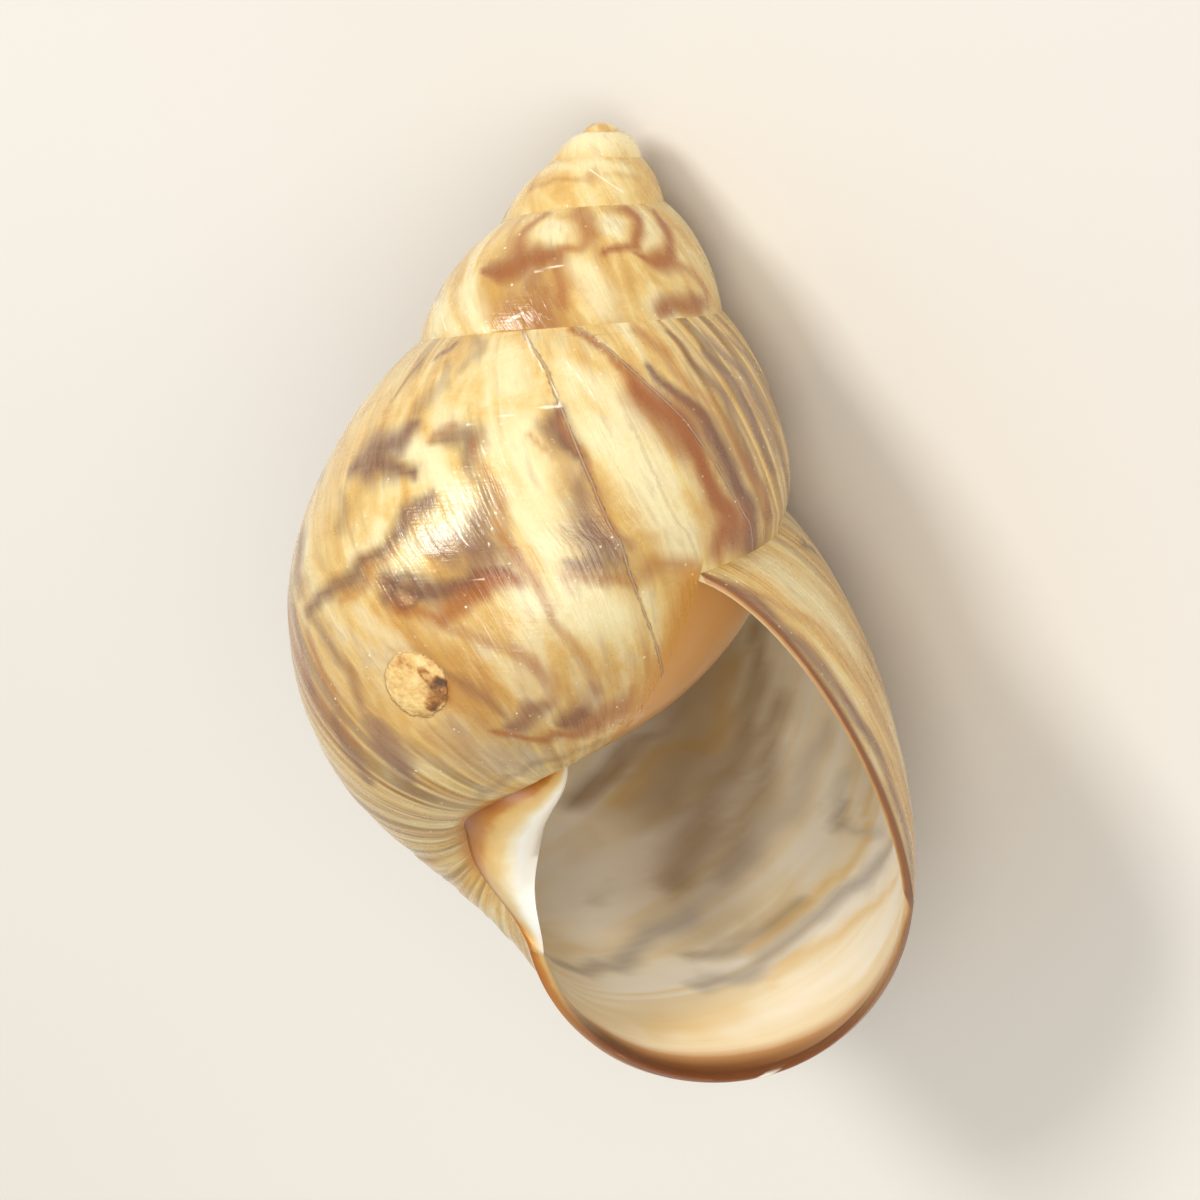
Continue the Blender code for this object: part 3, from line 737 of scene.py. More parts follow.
# %% Rust strokes, the orange-brown that shades the flames and follows the growth stops
RUST = (
    (1.0, ((0.676, 0.612, 0.3), (0.678, 0.635, 0.45), (0.67, 0.66, 0.5), (0.658, 0.672, 0.35))),
    (0.85, ((0.685, 0.505, 0.4), (0.696, 0.522, 0.6), (0.703, 0.543, 0.55), (0.712, 0.52, 0.5),
            (0.735, 0.497, 0.4), (0.765, 0.475, 0.4))),
    (0.6, ((0.705, 0.55, 0.45), (0.722, 0.56, 0.55), (0.738, 0.575, 0.55), (0.75, 0.6, 0.6),
           (0.757, 0.63, 0.6), (0.754, 0.66, 0.6), (0.745, 0.68, 0.45))),
    (0.55, ((0.64, 0.478, 0.2), (0.665, 0.46, 0.3), (0.69, 0.425, 0.25), (0.706, 0.395, 0.2))),
    (0.55, ((0.749, 0.225, 0.15), (0.756, 0.21, 0.25), (0.77, 0.197, 0.2))),
    (0.45, ((0.55, 0.42, 1.6), (0.556, 0.52, 1.6), (0.552, 0.62, 1.4))),
    (0.3, ((0.62, 0.6, 4.0), (0.72, 0.66, 4.0), (0.83, 0.69, 3.0))),
    (0.6, ((0.784, 0.22, 0.2), (0.788, 0.27, 0.25), (0.788, 0.33, 0.35), (0.781, 0.4, 0.35),
           (0.776, 0.47, 0.3), (0.782, 0.53, 0.3), (0.788, 0.6, 0.4), (0.791, 0.66, 0.4))),
    (0.55, ((0.8, 0.475, 0.35), (0.82, 0.478, 0.35), (0.842, 0.475, 0.3))),
    (0.6, ((0.85, 0.47, 0.45), (0.866, 0.462, 0.5), (0.88, 0.452, 0.4), (0.897, 0.447, 0.3))),
    (0.95, ((0.905, 0.1, 0.15), (0.917, 0.135, 0.6), (0.921, 0.165, 1.0), (0.928, 0.195, 1.3),
            (0.932, 0.225, 1.0), (0.937, 0.26, 0.6), (0.937, 0.3, 0.6), (0.937, 0.345, 0.9),
            (0.936, 0.39, 1.3), (0.921, 0.432, 0.6))),
    (0.9, ((0.888, 0.01, 0.2), (0.897, 0.045, 0.22), (0.906, 0.085, 0.2), (0.918, 0.12, 0.2),
           (0.932, 0.155, 0.15))),
    (0.6, ((0.852, 0.19, 0.2), (0.853, 0.24, 0.2), (0.852, 0.3, 0.22), (0.851, 0.36, 0.25),
           (0.848, 0.43, 0.25))),
    (0.6, ((0.829, 0.225, 0.2), (0.833, 0.25, 0.2))),
    (0.55, ((0.945, 0.02, 0.3), (0.955, 0.08, 0.4), (0.965, 0.14, 0.35), (0.973, 0.2, 0.35),
            (0.977, 0.26, 0.35), (0.979, 0.31, 0.35), (0.982, 0.37, 0.45), (0.98, 0.4, 0.4))),
    (0.85, ((0.69, 0.735, 0.2), (0.71, 0.748, 0.3), (0.735, 0.757, 0.35), (0.765, 0.748, 0.45),
            (0.795, 0.72, 0.75), (0.825, 0.685, 1.1))),
    (0.6, ((0.592, 0.5, 0.25), (0.59, 0.55, 0.4), (0.58, 0.6, 0.4), (0.57, 0.65, 0.4), (0.56, 0.7, 0.3))),
    (0.35, ((0.003, 0.04, 0.25), (0.03, 0.1, 0.35), (0.037, 0.17, 0.4), (0.036, 0.24, 0.4),
            (0.028, 0.31, 0.35))),
    (0.55, ((1.785, 0.25, 0.5), (1.78, 0.3, 0.9), (1.775, 0.345, 1.1), (1.765, 0.385, 1.4))),
    (0.8, ((1.714, 0.237, 0.25), (1.735, 0.225, 0.65), (1.76, 0.212, 0.85), (1.785, 0.205, 0.8),
           (1.803, 0.2, 0.5))),
    (0.75, ((1.815, 0.18, 0.25), (1.815, 0.22, 0.4), (1.812, 0.28, 0.45), (1.805, 0.34, 0.4))),
    (0.75, ((1.797, 0.02, 0.3), (1.788, 0.06, 0.3), (1.775, 0.12, 0.35), (1.765, 0.17, 0.55))),
    (0.7, ((1.872, 0.02, 0.35), (1.866, 0.07, 0.45), (1.858, 0.13, 0.5), (1.843, 0.167, 0.3),
           (1.815, 0.175, 0.25))),
    (0.95, ((1.945, 0.03, 0.35), (1.948, 0.08, 0.35), (1.942, 0.12, 0.35), (1.925, 0.16, 0.3),
            (1.9, 0.187, 0.25), (1.876, 0.197, 0.18))),
    (1.0, ((2.005, 0.03, 0.2), (2.005, 0.09, 0.3), (1.997, 0.14, 0.3), (1.982, 0.18, 0.35),
           (1.96, 0.21, 0.6), (1.938, 0.212, 0.5), (1.918, 0.192, 0.2))),
    (0.65, ((1.975, 0.22, 0.3), (1.993, 0.25, 0.3), (1.998, 0.3, 0.35), (1.985, 0.34, 0.4))),
    (0.75, ((1.9, 0.365, 0.3), (1.925, 0.345, 0.5), (1.95, 0.33, 0.6), (1.975, 0.325, 0.5))),
    (0.4, ((2.835, 0.12, 0.15), (2.84, 0.15, 0.4), (2.8, 0.178, 0.2), (2.74, 0.185, 0.18),
           (2.68, 0.195, 0.25))),
    (0.2, ((2.88, 0.16, 0.2), (2.93, 0.165, 0.25), (2.99, 0.17, 0.25))),
    (0.3, ((4.2, 0.1, 0.3), (4.5, 0.2, 0.3), (4.8, 0.3, 0.3))),
)
print(len(RUST), "rust strokes")

# %% Smoke strokes, a blue-grey veil where the pigment lies deep
SMOKE = (
    (0.55, ((0.69, 0.235, 0.9), (0.735, 0.19, 0.6))),
    (0.7, ((0.735, 0.4, 1.0), (0.757, 0.4, 1.3))),
    (0.6, ((0.846, 0.265, 0.5), (0.842, 0.31, 0.9), (0.836, 0.37, 1.0))),
    (0.55, ((0.66, 0.735, 1.4), (0.668, 0.78, 1.6), (0.657, 0.83, 1.1))),
    (0.6, ((0.604, 0.33, 0.7), (0.602, 0.41, 0.8))),
    (0.7, ((0.6, 0.68, 0.6), (0.588, 0.735, 1.0), (0.577, 0.78, 0.6))),
    (0.6, ((0.783, 0.695, 0.6), (0.79, 0.665, 0.55))),
    (0.5, ((0.712, 0.722, 0.5), (0.73, 0.7, 0.5))),
    (0.7, ((1.005, 0.08, 0.25), (1.01, 0.16, 0.3), (1.008, 0.24, 0.25))),
    (0.8, ((1.03, 0.06, 0.25), (1.035, 0.13, 0.35), (1.036, 0.2, 0.3), (1.03, 0.3, 0.25))),
)
print(len(SMOKE), "smoke strokes")

# %% Milk strokes, the palest, opaque layer
MILK = (
    (0.9, ((0.87, 0.22, 0.8), (0.885, 0.28, 1.2), (0.89, 0.35, 1.3), (0.885, 0.41, 1.1))),
    (0.85, ((0.87, 0.11, 0.7), (0.888, 0.15, 0.9), (0.9, 0.19, 0.45))),
    (0.8, ((0.825, 0.2, 0.7), (0.815, 0.27, 0.9), (0.808, 0.34, 0.9), (0.806, 0.41, 0.8))),
    (0.8, ((0.768, 0.51, 0.8), (0.79, 0.53, 1.3), (0.825, 0.525, 1.2))),
    (0.7, ((0.822, 0.06, 0.8), (0.82, 0.13, 0.9))),
    (1.0, ((0.72, 0.212, 0.55), (0.738, 0.23, 0.6), (0.752, 0.255, 0.55), (0.763, 0.3, 0.6),
           (0.762, 0.34, 0.55), (0.75, 0.375, 0.5), (0.73, 0.4, 0.6))),
    (0.7, ((0.045, 0.03, 0.9), (0.05, 0.08, 1.2), (0.055, 0.12, 1.0))),
    (0.7, ((0.655, 0.5, 0.5), (0.66, 0.54, 0.6), (0.668, 0.57, 0.35))),
    (0.6, ((0.705, 0.34, 0.3), (0.69, 0.37, 0.35), (0.67, 0.4, 0.3))),
    (0.85, ((1.825, 0.08, 0.5), (1.815, 0.13, 0.5))),
    (0.85, ((1.905, 0.08, 0.5), (1.89, 0.12, 0.5))),
    (0.75, ((1.965, 0.07, 0.4), (1.96, 0.13, 0.5), (1.94, 0.165, 0.35))),
    (0.75, ((1.84, 0.23, 0.6), (1.85, 0.3, 0.9), (1.84, 0.36, 0.6))),
    (0.7, ((1.68, 0.28, 0.6), (1.7, 0.34, 0.8), (1.7, 0.4, 0.6))),
    (1.0, ((3.3, 0.2, 0.6), (3.6, 0.15, 1.0), (3.8, 0.2, 1.2), (4.0, 0.25, 1.0))),
    (0.6, ((2.7, 0.09, 0.4), (2.85, 0.07, 0.4), (2.95, 0.1, 0.4))),
)
print(len(MILK), "milk strokes")

# %% Strokes for the far side
FLAME_SEED = 12
FAR_SIDES = ((0.08, 0.53), (1.10, 1.60), (2.12, 2.56), (3.1, 3.5))
FLAMES_A_TURN = 26
FULL_SIZE_TURN = 0.75
LOW_END = 0.85
SPIRE_LOW_END = 0.4
rng = np.random.default_rng(FLAME_SEED)


def far_flames(strength):
    """Flames at random growth lines: each starts at a random share, runs down and hooks back a little.

    place k of three = (line + hook k, top + length * k / 2, width k), all drawn at random.
    """
    flames = []
    for start, stop in FAR_SIDES:
        size = float(np.exp(log_radius(start)) / np.exp(log_radius(FULL_SIZE_TURN)))
        low_end = LOW_END if start < 1 else SPIRE_LOW_END
        for _ in range(int((stop - start) * FLAMES_A_TURN)):
            line = rng.uniform(start, stop)
            top = rng.uniform(0.0, 0.6 * low_end)
            length = rng.uniform(0.08, 0.25) * low_end
            hook = rng.uniform(-0.03, 0.03, 3)
            width = rng.uniform(0.3, 0.9, 3) * size
            path = [(line + hook[k], top + length * k / 2, width[k]) for k in range(3)]
            flames.append((rng.uniform(0.5, 1.0) * strength, path))
    return tuple(flames)


far_umber = far_flames(0.9)
far_rust = far_flames(0.8)
print(len(far_umber) + len(far_rust), "strokes on the far side")

# %% Bark and slate strokes inside the mouth, where the first number is the turn from the lip along the hollow
# Bark is the dark brown that shows through from the flames outside, and its broad first stroke is painted
# shade;
# slate is the bluish lines.
BARK_AND_DEEP_SHADE = (
    # Painted shade: this broad stroke darkens the deep upper part of the mouth, where little light gets in.
    (0.9, ((0.3, 0.1, 4.5), (0.262, 0.27, 4.5), (0.245, 0.36, 4.0), (0.235, 0.42, 3.2))),
    (0.95, ((0.258, 0.27, 0.7), (0.266, 0.335, 0.9), (0.272, 0.413, 1.1), (0.274, 0.464, 0.8))),
    (0.88, ((0.234, 0.19, 0.9), (0.227, 0.263, 1.1), (0.221, 0.309, 1.5), (0.217, 0.395, 2.2),
            (0.199, 0.475, 2.1), (0.183, 0.53, 1.3))),
    (0.75, ((0.212, 0.254, 0.8), (0.202, 0.326, 1.0), (0.187, 0.415, 1.4), (0.172, 0.49, 1.1))),
    (0.5, ((0.245, 0.44, 3.0), (0.205, 0.5, 3.5), (0.16, 0.56, 2.5))),
    (0.4, ((0.255, 0.499, 0.7), (0.24, 0.512, 0.9))),
    (0.4, ((0.218, 0.555, 0.6), (0.205, 0.6, 0.6))),
    (0.55, ((0.119, 0.475, 0.5), (0.117, 0.524, 0.6), (0.121, 0.571, 0.7), (0.128, 0.612, 0.5))),
    (0.45, ((0.138, 0.34, 0.4), (0.133, 0.37, 0.5))),
)
SLATE = (
    (1.0, ((0.142, 0.805, 0.4), (0.138, 0.75, 0.45), (0.141, 0.7, 0.55), (0.158, 0.632, 0.55),
           (0.162, 0.581, 0.6), (0.163, 0.551, 0.6))),
    (0.6, ((0.163, 0.551, 0.6), (0.165, 0.491, 0.9), (0.17, 0.431, 1.0), (0.168, 0.382, 0.9),
           (0.176, 0.319, 0.8), (0.172, 0.265, 0.6))),
    (1.0, ((0.078, 0.35, 0.5), (0.08, 0.385, 0.7), (0.092, 0.436, 0.65), (0.101, 0.489, 0.65),
           (0.097, 0.555, 0.7), (0.094, 0.598, 0.7), (0.099, 0.642, 0.6))),
    (0.5, ((0.146, 0.3, 0.5), (0.145, 0.335, 0.7), (0.133, 0.372, 0.6), (0.112, 0.368, 0.4),
           (0.09, 0.34, 0.4))),
    (0.35, ((0.255, 0.54, 1.4), (0.24, 0.58, 1.8), (0.215, 0.62, 1.8))),
)
print(len(BARK_AND_DEEP_SHADE), "bark and", len(SLATE), "slate strokes")

# %% Gold strokes inside the mouth, and pearl ones for the palest streaks
GOLD = (
    (1.0, ((0.248, 0.235, 0.5), (0.245, 0.262, 0.5), (0.236, 0.293, 0.6), (0.236, 0.331, 0.6),
           (0.251, 0.342, 0.5), (0.256, 0.39, 0.6), (0.256, 0.446, 0.6))),
    (0.9, ((0.122, 0.28, 0.3), (0.119, 0.32, 0.35), (0.112, 0.35, 0.35), (0.102, 0.385, 0.3),
           (0.106, 0.425, 0.35), (0.113, 0.46, 0.4), (0.113, 0.512, 0.4), (0.109, 0.56, 0.4))),
    (0.8, ((0.051, 0.392, 0.4), (0.064, 0.441, 0.5), (0.076, 0.48, 0.5), (0.083, 0.535, 0.5),
           (0.079, 0.58, 0.4))),
    (0.6, ((0.062, 0.64, 0.9), (0.06, 0.7, 1.0), (0.055, 0.76, 0.7))),
)
PEARL = (
    (0.9, ((0.155, 0.26, 0.5), (0.158, 0.318, 0.6), (0.148, 0.378, 0.6), (0.139, 0.434, 0.8))),
    (1.0, ((0.134, 0.395, 0.8), (0.126, 0.422, 0.9), (0.123, 0.455, 0.7))),
    (0.75, ((0.114, 0.54, 0.6), (0.112, 0.58, 0.7), (0.108, 0.62, 0.5))),
    (0.8, ((0.13, 0.3, 0.4), (0.122, 0.34, 0.4), (0.118, 0.355, 0.3))),
    (0.8, ((0.055, 0.35, 0.6), (0.068, 0.41, 0.4), (0.086, 0.47, 0.35), (0.09, 0.52, 0.35))),
    (0.7, ((0.03, 0.4, 0.8), (0.045, 0.5, 1.0), (0.05, 0.6, 1.1), (0.05, 0.66, 1.0))),
    (0.7, ((0.152, 0.7, 0.5), (0.15, 0.76, 0.5))),
    (0.7, ((0.13, 0.64, 0.6), (0.12, 0.7, 0.7), (0.115, 0.76, 0.5))),
    (0.85, ((0.25, 0.575, 1.0), (0.232, 0.585, 1.4), (0.205, 0.625, 1.6), (0.185, 0.68, 1.2))),
)
print(len(GOLD), "gold and", len(PEARL), "pearl strokes")

# %% Paint numbers for every point
on_skin = np.stack([painted(colour) for colour in (UMBER + far_umber, RUST + far_rust, SMOKE, MILK)], axis=-1)
in_mouth = np.stack([painted(colour) for colour in (BARK_AND_DEEP_SHADE, SLATE, GOLD, PEARL)], axis=-1)
pigment = np.select([(kind == OUTSIDE)[:, None], (kind == INSIDE)[:, None]], [on_skin, in_mouth], 0.0)
print("mean strength of the four pigments:", np.round(pigment.mean(axis=0), 3))

# %% [markdown]
# ## Growth stops, scratches and the round plug
#
# Where growth paused the lip left a **stop**: a thin ridge with a dark line. That dark line is partly brown
# pigment and partly the ridge's painted shadow, and a pale line on the crest is partly pale shell and partly a
# painted highlight. A thin line can't be stored as a number between 0 and 1 on points half a millimetre apart,
# but its distance can: distance changes evenly, so the shader can cut a line of any width out of it. The same
# goes for scratches and for the round patch that fills an old hole, whose crack is dark brown and painted
# shade.

# %% Places of the growth stops, scratches and spots
# A stop is a strength and places as (share, growth line); a scratch has places as a stroke does.
STOPS = (
    (1.0, ((0.01, 0.836), (0.1, 0.851), (0.2, 0.853), (0.3, 0.852), (0.4, 0.847), (0.47, 0.844),
           (0.53, 0.847), (0.6, 0.856), (0.66, 0.866))),
    (0.25, ((0.17, 0.784), (0.24, 0.788), (0.34, 0.787), (0.45, 0.779), (0.54, 0.778), (0.62, 0.786),
            (0.69, 0.795))),
    (1.0, ((0.0, 0.889), (0.07, 0.909), (0.13, 0.923), (0.2, 0.941), (0.27, 0.949), (0.34, 0.953),
           (0.44, 0.956))),
    (0.35, ((0.22, 0.898), (0.3, 0.896), (0.37, 0.895), (0.44, 0.899))),
    (0.6, ((0.05, 0.3), (0.3, 0.31), (0.6, 0.305), (0.9, 0.31))),
    (0.5, ((0.0, 0.475), (0.25, 0.48), (0.55, 0.47), (0.85, 0.475))),
    (0.6, ((0.0, 1.31), (0.15, 1.315), (0.35, 1.31))),
)
STOP_REACH = 3.0
SCRATCHES = (
    ((0.782, 0.195, 1.8), (0.8, 0.19, 1.3), (0.83, 0.178, 1.2), (0.848, 0.172, 1.6), (0.857, 0.178, 1.0)),
    ((0.866, 0.075, 1.2), (0.874, 0.12, 1.2), (0.881, 0.17, 1.2), (0.884, 0.225, 0.8)),
    ((0.836, 0.01, 1.2), (0.842, 0.06, 1.0), (0.85, 0.12, 0.9), (0.855, 0.17, 0.8)),
    ((0.752, 0.36, 0.8), (0.754, 0.41, 1.0)),
    ((0.768, 0.4, 0.6), (0.763, 0.435, 1.0)),
    ((1.735, 0.385, 1.4), (1.755, 0.362, 1.4)),
    ((1.757, 0.36, 1.2), (1.762, 0.385, 1.2)),
    ((1.772, 0.36, 0.9), (1.782, 0.385, 0.9)),
    ((1.785, 0.24, 1.4), (1.82, 0.225, 0.9)),
    ((1.645, 0.33, 1.2), (1.652, 0.4, 1.2)),
    ((2.845, 0.11, 0.8), (2.9, 0.26, 0.8)),
    ((0.788, 0.23, 1.0), (0.793, 0.27, 1.2)),
    ((0.742, 0.3, 1.0), (0.749, 0.29, 1.0)),
    ((0.735, 0.478, 1.0), (0.75, 0.475, 1.0)),
    ((0.763, 0.462, 1.0), (0.775, 0.445, 0.8)),
)
PLUG_PLACE = (0.657, 0.632)
RING_PLACE = (0.695, 0.480)
print(len(STOPS), "growth stops and", len(SCRATCHES), "scratches")

# %% Distances to the lines and spots: in mm, and for a scratch in its own half widths
SCRATCH_REACH = 2.0
SPOT_REACH = 6.0


def stop_distance(path):
    """Signed distance to a growth stop, (line - the stop's line at this share) * around, and its presence.

    The presence is 1 along the stop and fades out over a millimetre past its ends.
    """
    heights, lines = np.array(path, float).T
    beyond = np.abs(share - np.clip(share, heights[0], heights[-1])) * down
    return (line - np.interp(share, heights, lines)) * around, 1 - ease(beyond)


def spot_distance(spot):
    """Straight distance in mm from the point that is nearest to a (growth line, share) place."""
    middle = points[np.argmin(np.hypot((line - spot[0]) * around, (share - spot[1]) * down))]
    return np.linalg.norm(points - middle, axis=1)


# Every other stop counts its distance the other way, so that the number runs on evenly from stop to stop.
ordered = sorted(STOPS, key=lambda stop: stop[1][0][1])
distances, presence = np.stack([stop_distance(path) for _, path in ordered], axis=1)
nearest = np.abs(distances).argmin(axis=0)[None]
turned = distances * ((-1) ** np.arange(len(ordered)))[:, None]
nearest_stop = np.clip(np.take_along_axis(turned, nearest, axis=0)[0], -STOP_REACH, STOP_REACH)
all_strengths = presence * np.array([strength for strength, _ in ordered])[:, None]
stop_strength = np.take_along_axis(all_strengths, nearest, axis=0)[0]
scratch = np.minimum(np.min([brush(path, line, share) for path in SCRATCHES], axis=0), SCRATCH_REACH)
plug = np.minimum(spot_distance(PLUG_PLACE), SPOT_REACH)
ring = np.minimum(spot_distance(RING_PLACE), SPOT_REACH)
print("points within 0.5 mm of a growth stop:", int((np.abs(nearest_stop) < 0.5).sum()))


# %% Striped zones
def past(number, start, width):
    """0 up to start and 1 from a width past it, eased between."""
    return ease((number - start) / width)


def short_of(number, stop, width):
    """0 from stop on and 1 from a width short of it, eased between."""
    return ease((stop - number) / width)


# The base, the older shoulder, faintly the newest growth, the left flank, and below the suture.
ZONES = (
    past(share, 0.66, 0.16) * (1 - 0.5 * past(line, 0.60, 0.05)) * (1 - 0.8 * past(share, 0.85, 0.12)),
    0.9 * past(line, 0.957, 0.012) * short_of(line, 1.15, 0.04),
    0.25 * short_of(line, 0.20, 0.05),
    0.75 * short_of(line, 0.63, 0.05) * past(line, 0.2, 0.05),
    0.6 * short_of(share, 0.12, 0.06) * short_of(line, 0.77, 0.05),
)
striped = np.clip(np.max(ZONES, axis=0), 0, 1)
print("striped share of the skin:", round(float(striped.mean()), 2))

# %% The brown lip, the glaze and a chip
# The brown covers the rim, up to a millimetre of the skin and one to four millimetres of the inside, widest
# and strongest along the base of the mouth. These widths are in turns.
BROWN_OUTSIDE = 0.006
BROWN_INSIDE = 0.012
BROWN_WIDER = 0.022
BROWN_STRENGTH = 0.45
along_base = past(share, 0.42, 0.32) * short_of(share, 0.95, 0.1)
brown_inside = 1 - ease(line / (BROWN_INSIDE + BROWN_WIDER * along_base))
brown_inside = brown_inside * (BROWN_STRENGTH + (1 - BROWN_STRENGTH) * along_base) * (share <= 1)
lip_brown = np.select([kind == INSIDE, kind == OUTSIDE], [brown_inside, 1 - ease(line / BROWN_OUTSIDE)], 1.0)

# Glaze lies along the mouth's upper side, beside the pillar from a fifth of a turn back, and inside on the
# front of the older whorl.
CEILING_GLAZE_TURNS = 0.20
foot_glaze = 0.9 * past(share, 0.95, 0.05) * past(line, 0.2, 0.1)
ceiling_glaze = (share > 2) * (1 - ease(line / CEILING_GLAZE_TURNS))
skin_glaze = np.maximum(glaze_share, foot_glaze)
glaze = np.select([kind == OUTSIDE, kind == INSIDE], [skin_glaze, ceiling_glaze], 0.0)

# One small pale chip on the outer half of the rim.
CHIP_SHARE = 0.633
CHIP_HALF_WIDTH = 0.011
pigment[:, 0] += ((kind == ENAMEL) * short_of(np.abs(share - CHIP_SHARE), CHIP_HALF_WIDTH, 0.004)
                  * short_of(line, 0.75, 0.3))
print("brown lip on", round(float((lip_brown > 0.5).mean()), 3), "of the points, glaze on",
      round(float((glaze > 0.5).mean()), 3))

# %% [markdown]
# ## Laying the shell down
#
# The law above stands the shell upright with its tip at the origin, in millimetres. The solid lies on its
# back, so the same two turns bring the fine mesh there: a roll about the long axis and a tip along it. The
# object could be turned instead, but then a pattern on its coordinates would turn too, so the points are
# turned.

# %% From the upright shell to the solid's frame
REST_ROLL = math.radians(38.8)
REST_PITCH = math.radians(-28.4)


def about_x(angle):
    """The turn of y towards z: y' = y cos - z sin, z' = y sin + z cos."""
    cosine, sine = math.cos(angle), math.sin(angle)
    return np.array([[1, 0, 0], [0, cosine, -sine], [0, sine, cosine]])


def about_y(angle):
    """The turn of z towards x: x' = x cos + z sin, z' = z cos - x sin."""
    cosine, sine = math.cos(angle), math.sin(angle)
    return np.array([[cosine, 0, sine], [0, 1, 0], [-sine, 0, cosine]])


on_its_back = np.array([[1, 0, 0], [0, 0, 1], [0, -1, 0]])
LAY = about_x(REST_PITCH) @ about_y(REST_ROLL) @ on_its_back


def laid(points):
    """Upright millimetres to metres in the solid's frame: turned by LAY, then set on the ground."""
    return points @ LAY.T * MM - ground


ground = np.zeros(3)
low, high = laid(points).min(axis=0), laid(points).max(axis=0)
ground = np.array([(low[0] + high[0]) / 2, (low[1] + high[1]) / 2, low[2]])
print("fine skin, box in mm:", np.round((high - low) / MM, 2))

# %% [markdown]
# ## Relief
#
# What the fingertip would feel goes into the mesh: low ribs along the growth lines, the ridges at the stops,
# the groove round the plug and the small ring above it. A displacement modifier could lift the skin too, but
# here the heights are plain arrays, so they can be added up and checked. What is finer than the mesh is left
# to the shader.

# %% Heights in millimetres, along each point's own normal
# Ribs by length, height and phase; off the stripes they have only a part of their height.
RIBS = ((1.7, 0.010, 0.4), (2.6, 0.016, 2.1), (4.3, 0.022, 5.2), (7.9, 0.03, 1.3))
PLAIN_RIBS = 0.4
STOP_HEIGHT = 0.04
STOP_HALF_WIDTH = 0.28
PLUG_RADIUS = 2.2
PLUG_GROOVE = 0.14
GROOVE_HALF_WIDTH = 0.25
PLUG_CROWN = 0.08
CROWN_RADIUS = 1.2
CROWN_SLOPE = 0.8
RING_RADIUS = 1.0
RING_HEIGHT = 0.05
RING_HALF_WIDTH = 0.2
RING_DIMPLE = 0.6


def relief():
    """Ribs a sin(2 pi arc / length + phase), bells exp(-(d / w)^2) on the stops and round the spots."""
    ribs = sum(height * np.sin(2 * math.pi * arc / length + phase) for length, height, phase in RIBS)
    ridge = STOP_HEIGHT * stop_strength * np.exp(-(nearest_stop / STOP_HALF_WIDTH) ** 2)
    groove = PLUG_GROOVE * np.exp(-(((plug - PLUG_RADIUS) / GROOVE_HALF_WIDTH) ** 2))
    crown = PLUG_CROWN * (1 - past(plug, CROWN_RADIUS, CROWN_SLOPE))
    rim_of_ring = RING_HEIGHT * np.exp(-(((ring - RING_RADIUS) / RING_HALF_WIDTH) ** 2))
    rim_of_ring = rim_of_ring - RING_HEIGHT * np.exp(-((ring / RING_DIMPLE) ** 2))
    ribs = ribs * (PLAIN_RIBS + (1 - PLAIN_RIBS) * striped)
    return (ribs + ridge - groove + crown + rim_of_ring) * relief_share


height = relief()
print("relief from", round(float(height.min()), 3), "to", round(float(height.max()), 3), "mm")

# %% The mesh and the numbers on its corners
def corner_numbers(values):
    """Values of the points, repeated for the face corners that use them, as one flat list for Blender."""
    return values[corner_source.ravel()].astype(np.float32).ravel()


def closed_mesh(name, places):
    """A mesh of the welded triangles with outward faces, UV maps and paint numbers on its corners."""
    mesh = bpy.data.meshes.new(name)
    mesh.from_pydata(places.tolist(), [], welded_faces.tolist())
    mesh.polygons.foreach_set("material_index", kind[corner_source[:, 0]].astype(np.int32))
    for title, values in (("growth", (line, share)), ("lines", (arc, share * down))):
        numbers = corner_numbers(np.stack(values, axis=-1))
        mesh.uv_layers.new(name=title).data.foreach_set("uv", numbers)
    for title, values in (("pigment", pigment.T), ("marks", (nearest_stop, plug, striped, scratch)),
                          ("spots", (ring, glaze, lip_brown, stop_strength))):
        numbers = corner_numbers(np.stack(values, axis=-1))
        mesh.attributes.new(title, "FLOAT_COLOR", "CORNER").data.foreach_set("color", numbers)
    body = bmesh.new()
    body.from_mesh(mesh)
    bmesh.ops.recalc_face_normals(body, faces=body.faces)
    body.to_mesh(mesh)
    body.free()
    mesh.shade_smooth()
    return mesh


smooth_places = laid(points[kept])
mesh = closed_mesh("tree_snail_shell", smooth_places)
print("UV maps", [layer.name for layer in mesh.uv_layers], "and attributes pigment, marks and spots")

# %% Push the relief out and put the shell in the scene
SHARP_ANGLE = math.radians(50)
normals = np.empty(len(kept) * 3, np.float32)
mesh.vertices.foreach_get("normal", normals)
places = smooth_places + normals.reshape(-1, 3) * (height[kept] * MM)[:, None]
mesh.vertices.foreach_set("co", places.astype(np.float32).ravel())
mesh.update()
mesh.set_sharp_from_angle(angle=SHARP_ANGLE)
shell = bpy.data.objects.new("tree_snail_shell", mesh)
bpy.context.scene.collection.objects.link(shell)
print("shell:", len(mesh.vertices), "points,", len(mesh.polygons), "triangles")

# %% [markdown]
# ## The painted skin
#
# The real surface is **aragonite**, the hard form of chalk, laid in thin crossed layers under a worn, glossy
# skin of protein. It is a dielectric with an IOR near 1.53 and a roughness of 0.2 to 0.4; light goes a
# millimetre or two into it, which takes the hardness off the shadows. A mapped picture would fit one shell
# and stretch at the seams, and one noise would look like marble, so the paint is built as the animal built
# it: a honey ground banded along the growth lines, then milk, smoke, umber and rust from the strokes, then
# stops and scratches.

# %% Colours, and one function for nodes
def srgb(code):
    """A hex colour as linear RGBA: ((c + 0.055) / 1.055)^2.4, or c / 12.92 for the darkest values."""
    values = [int(code[k:k + 2], 16) / 255 for k in (1, 3, 5)]
    return tuple(v / 12.92 if v <= 0.04045 else ((v + 0.055) / 1.055) ** 2.4 for v in values) + (1.0,)


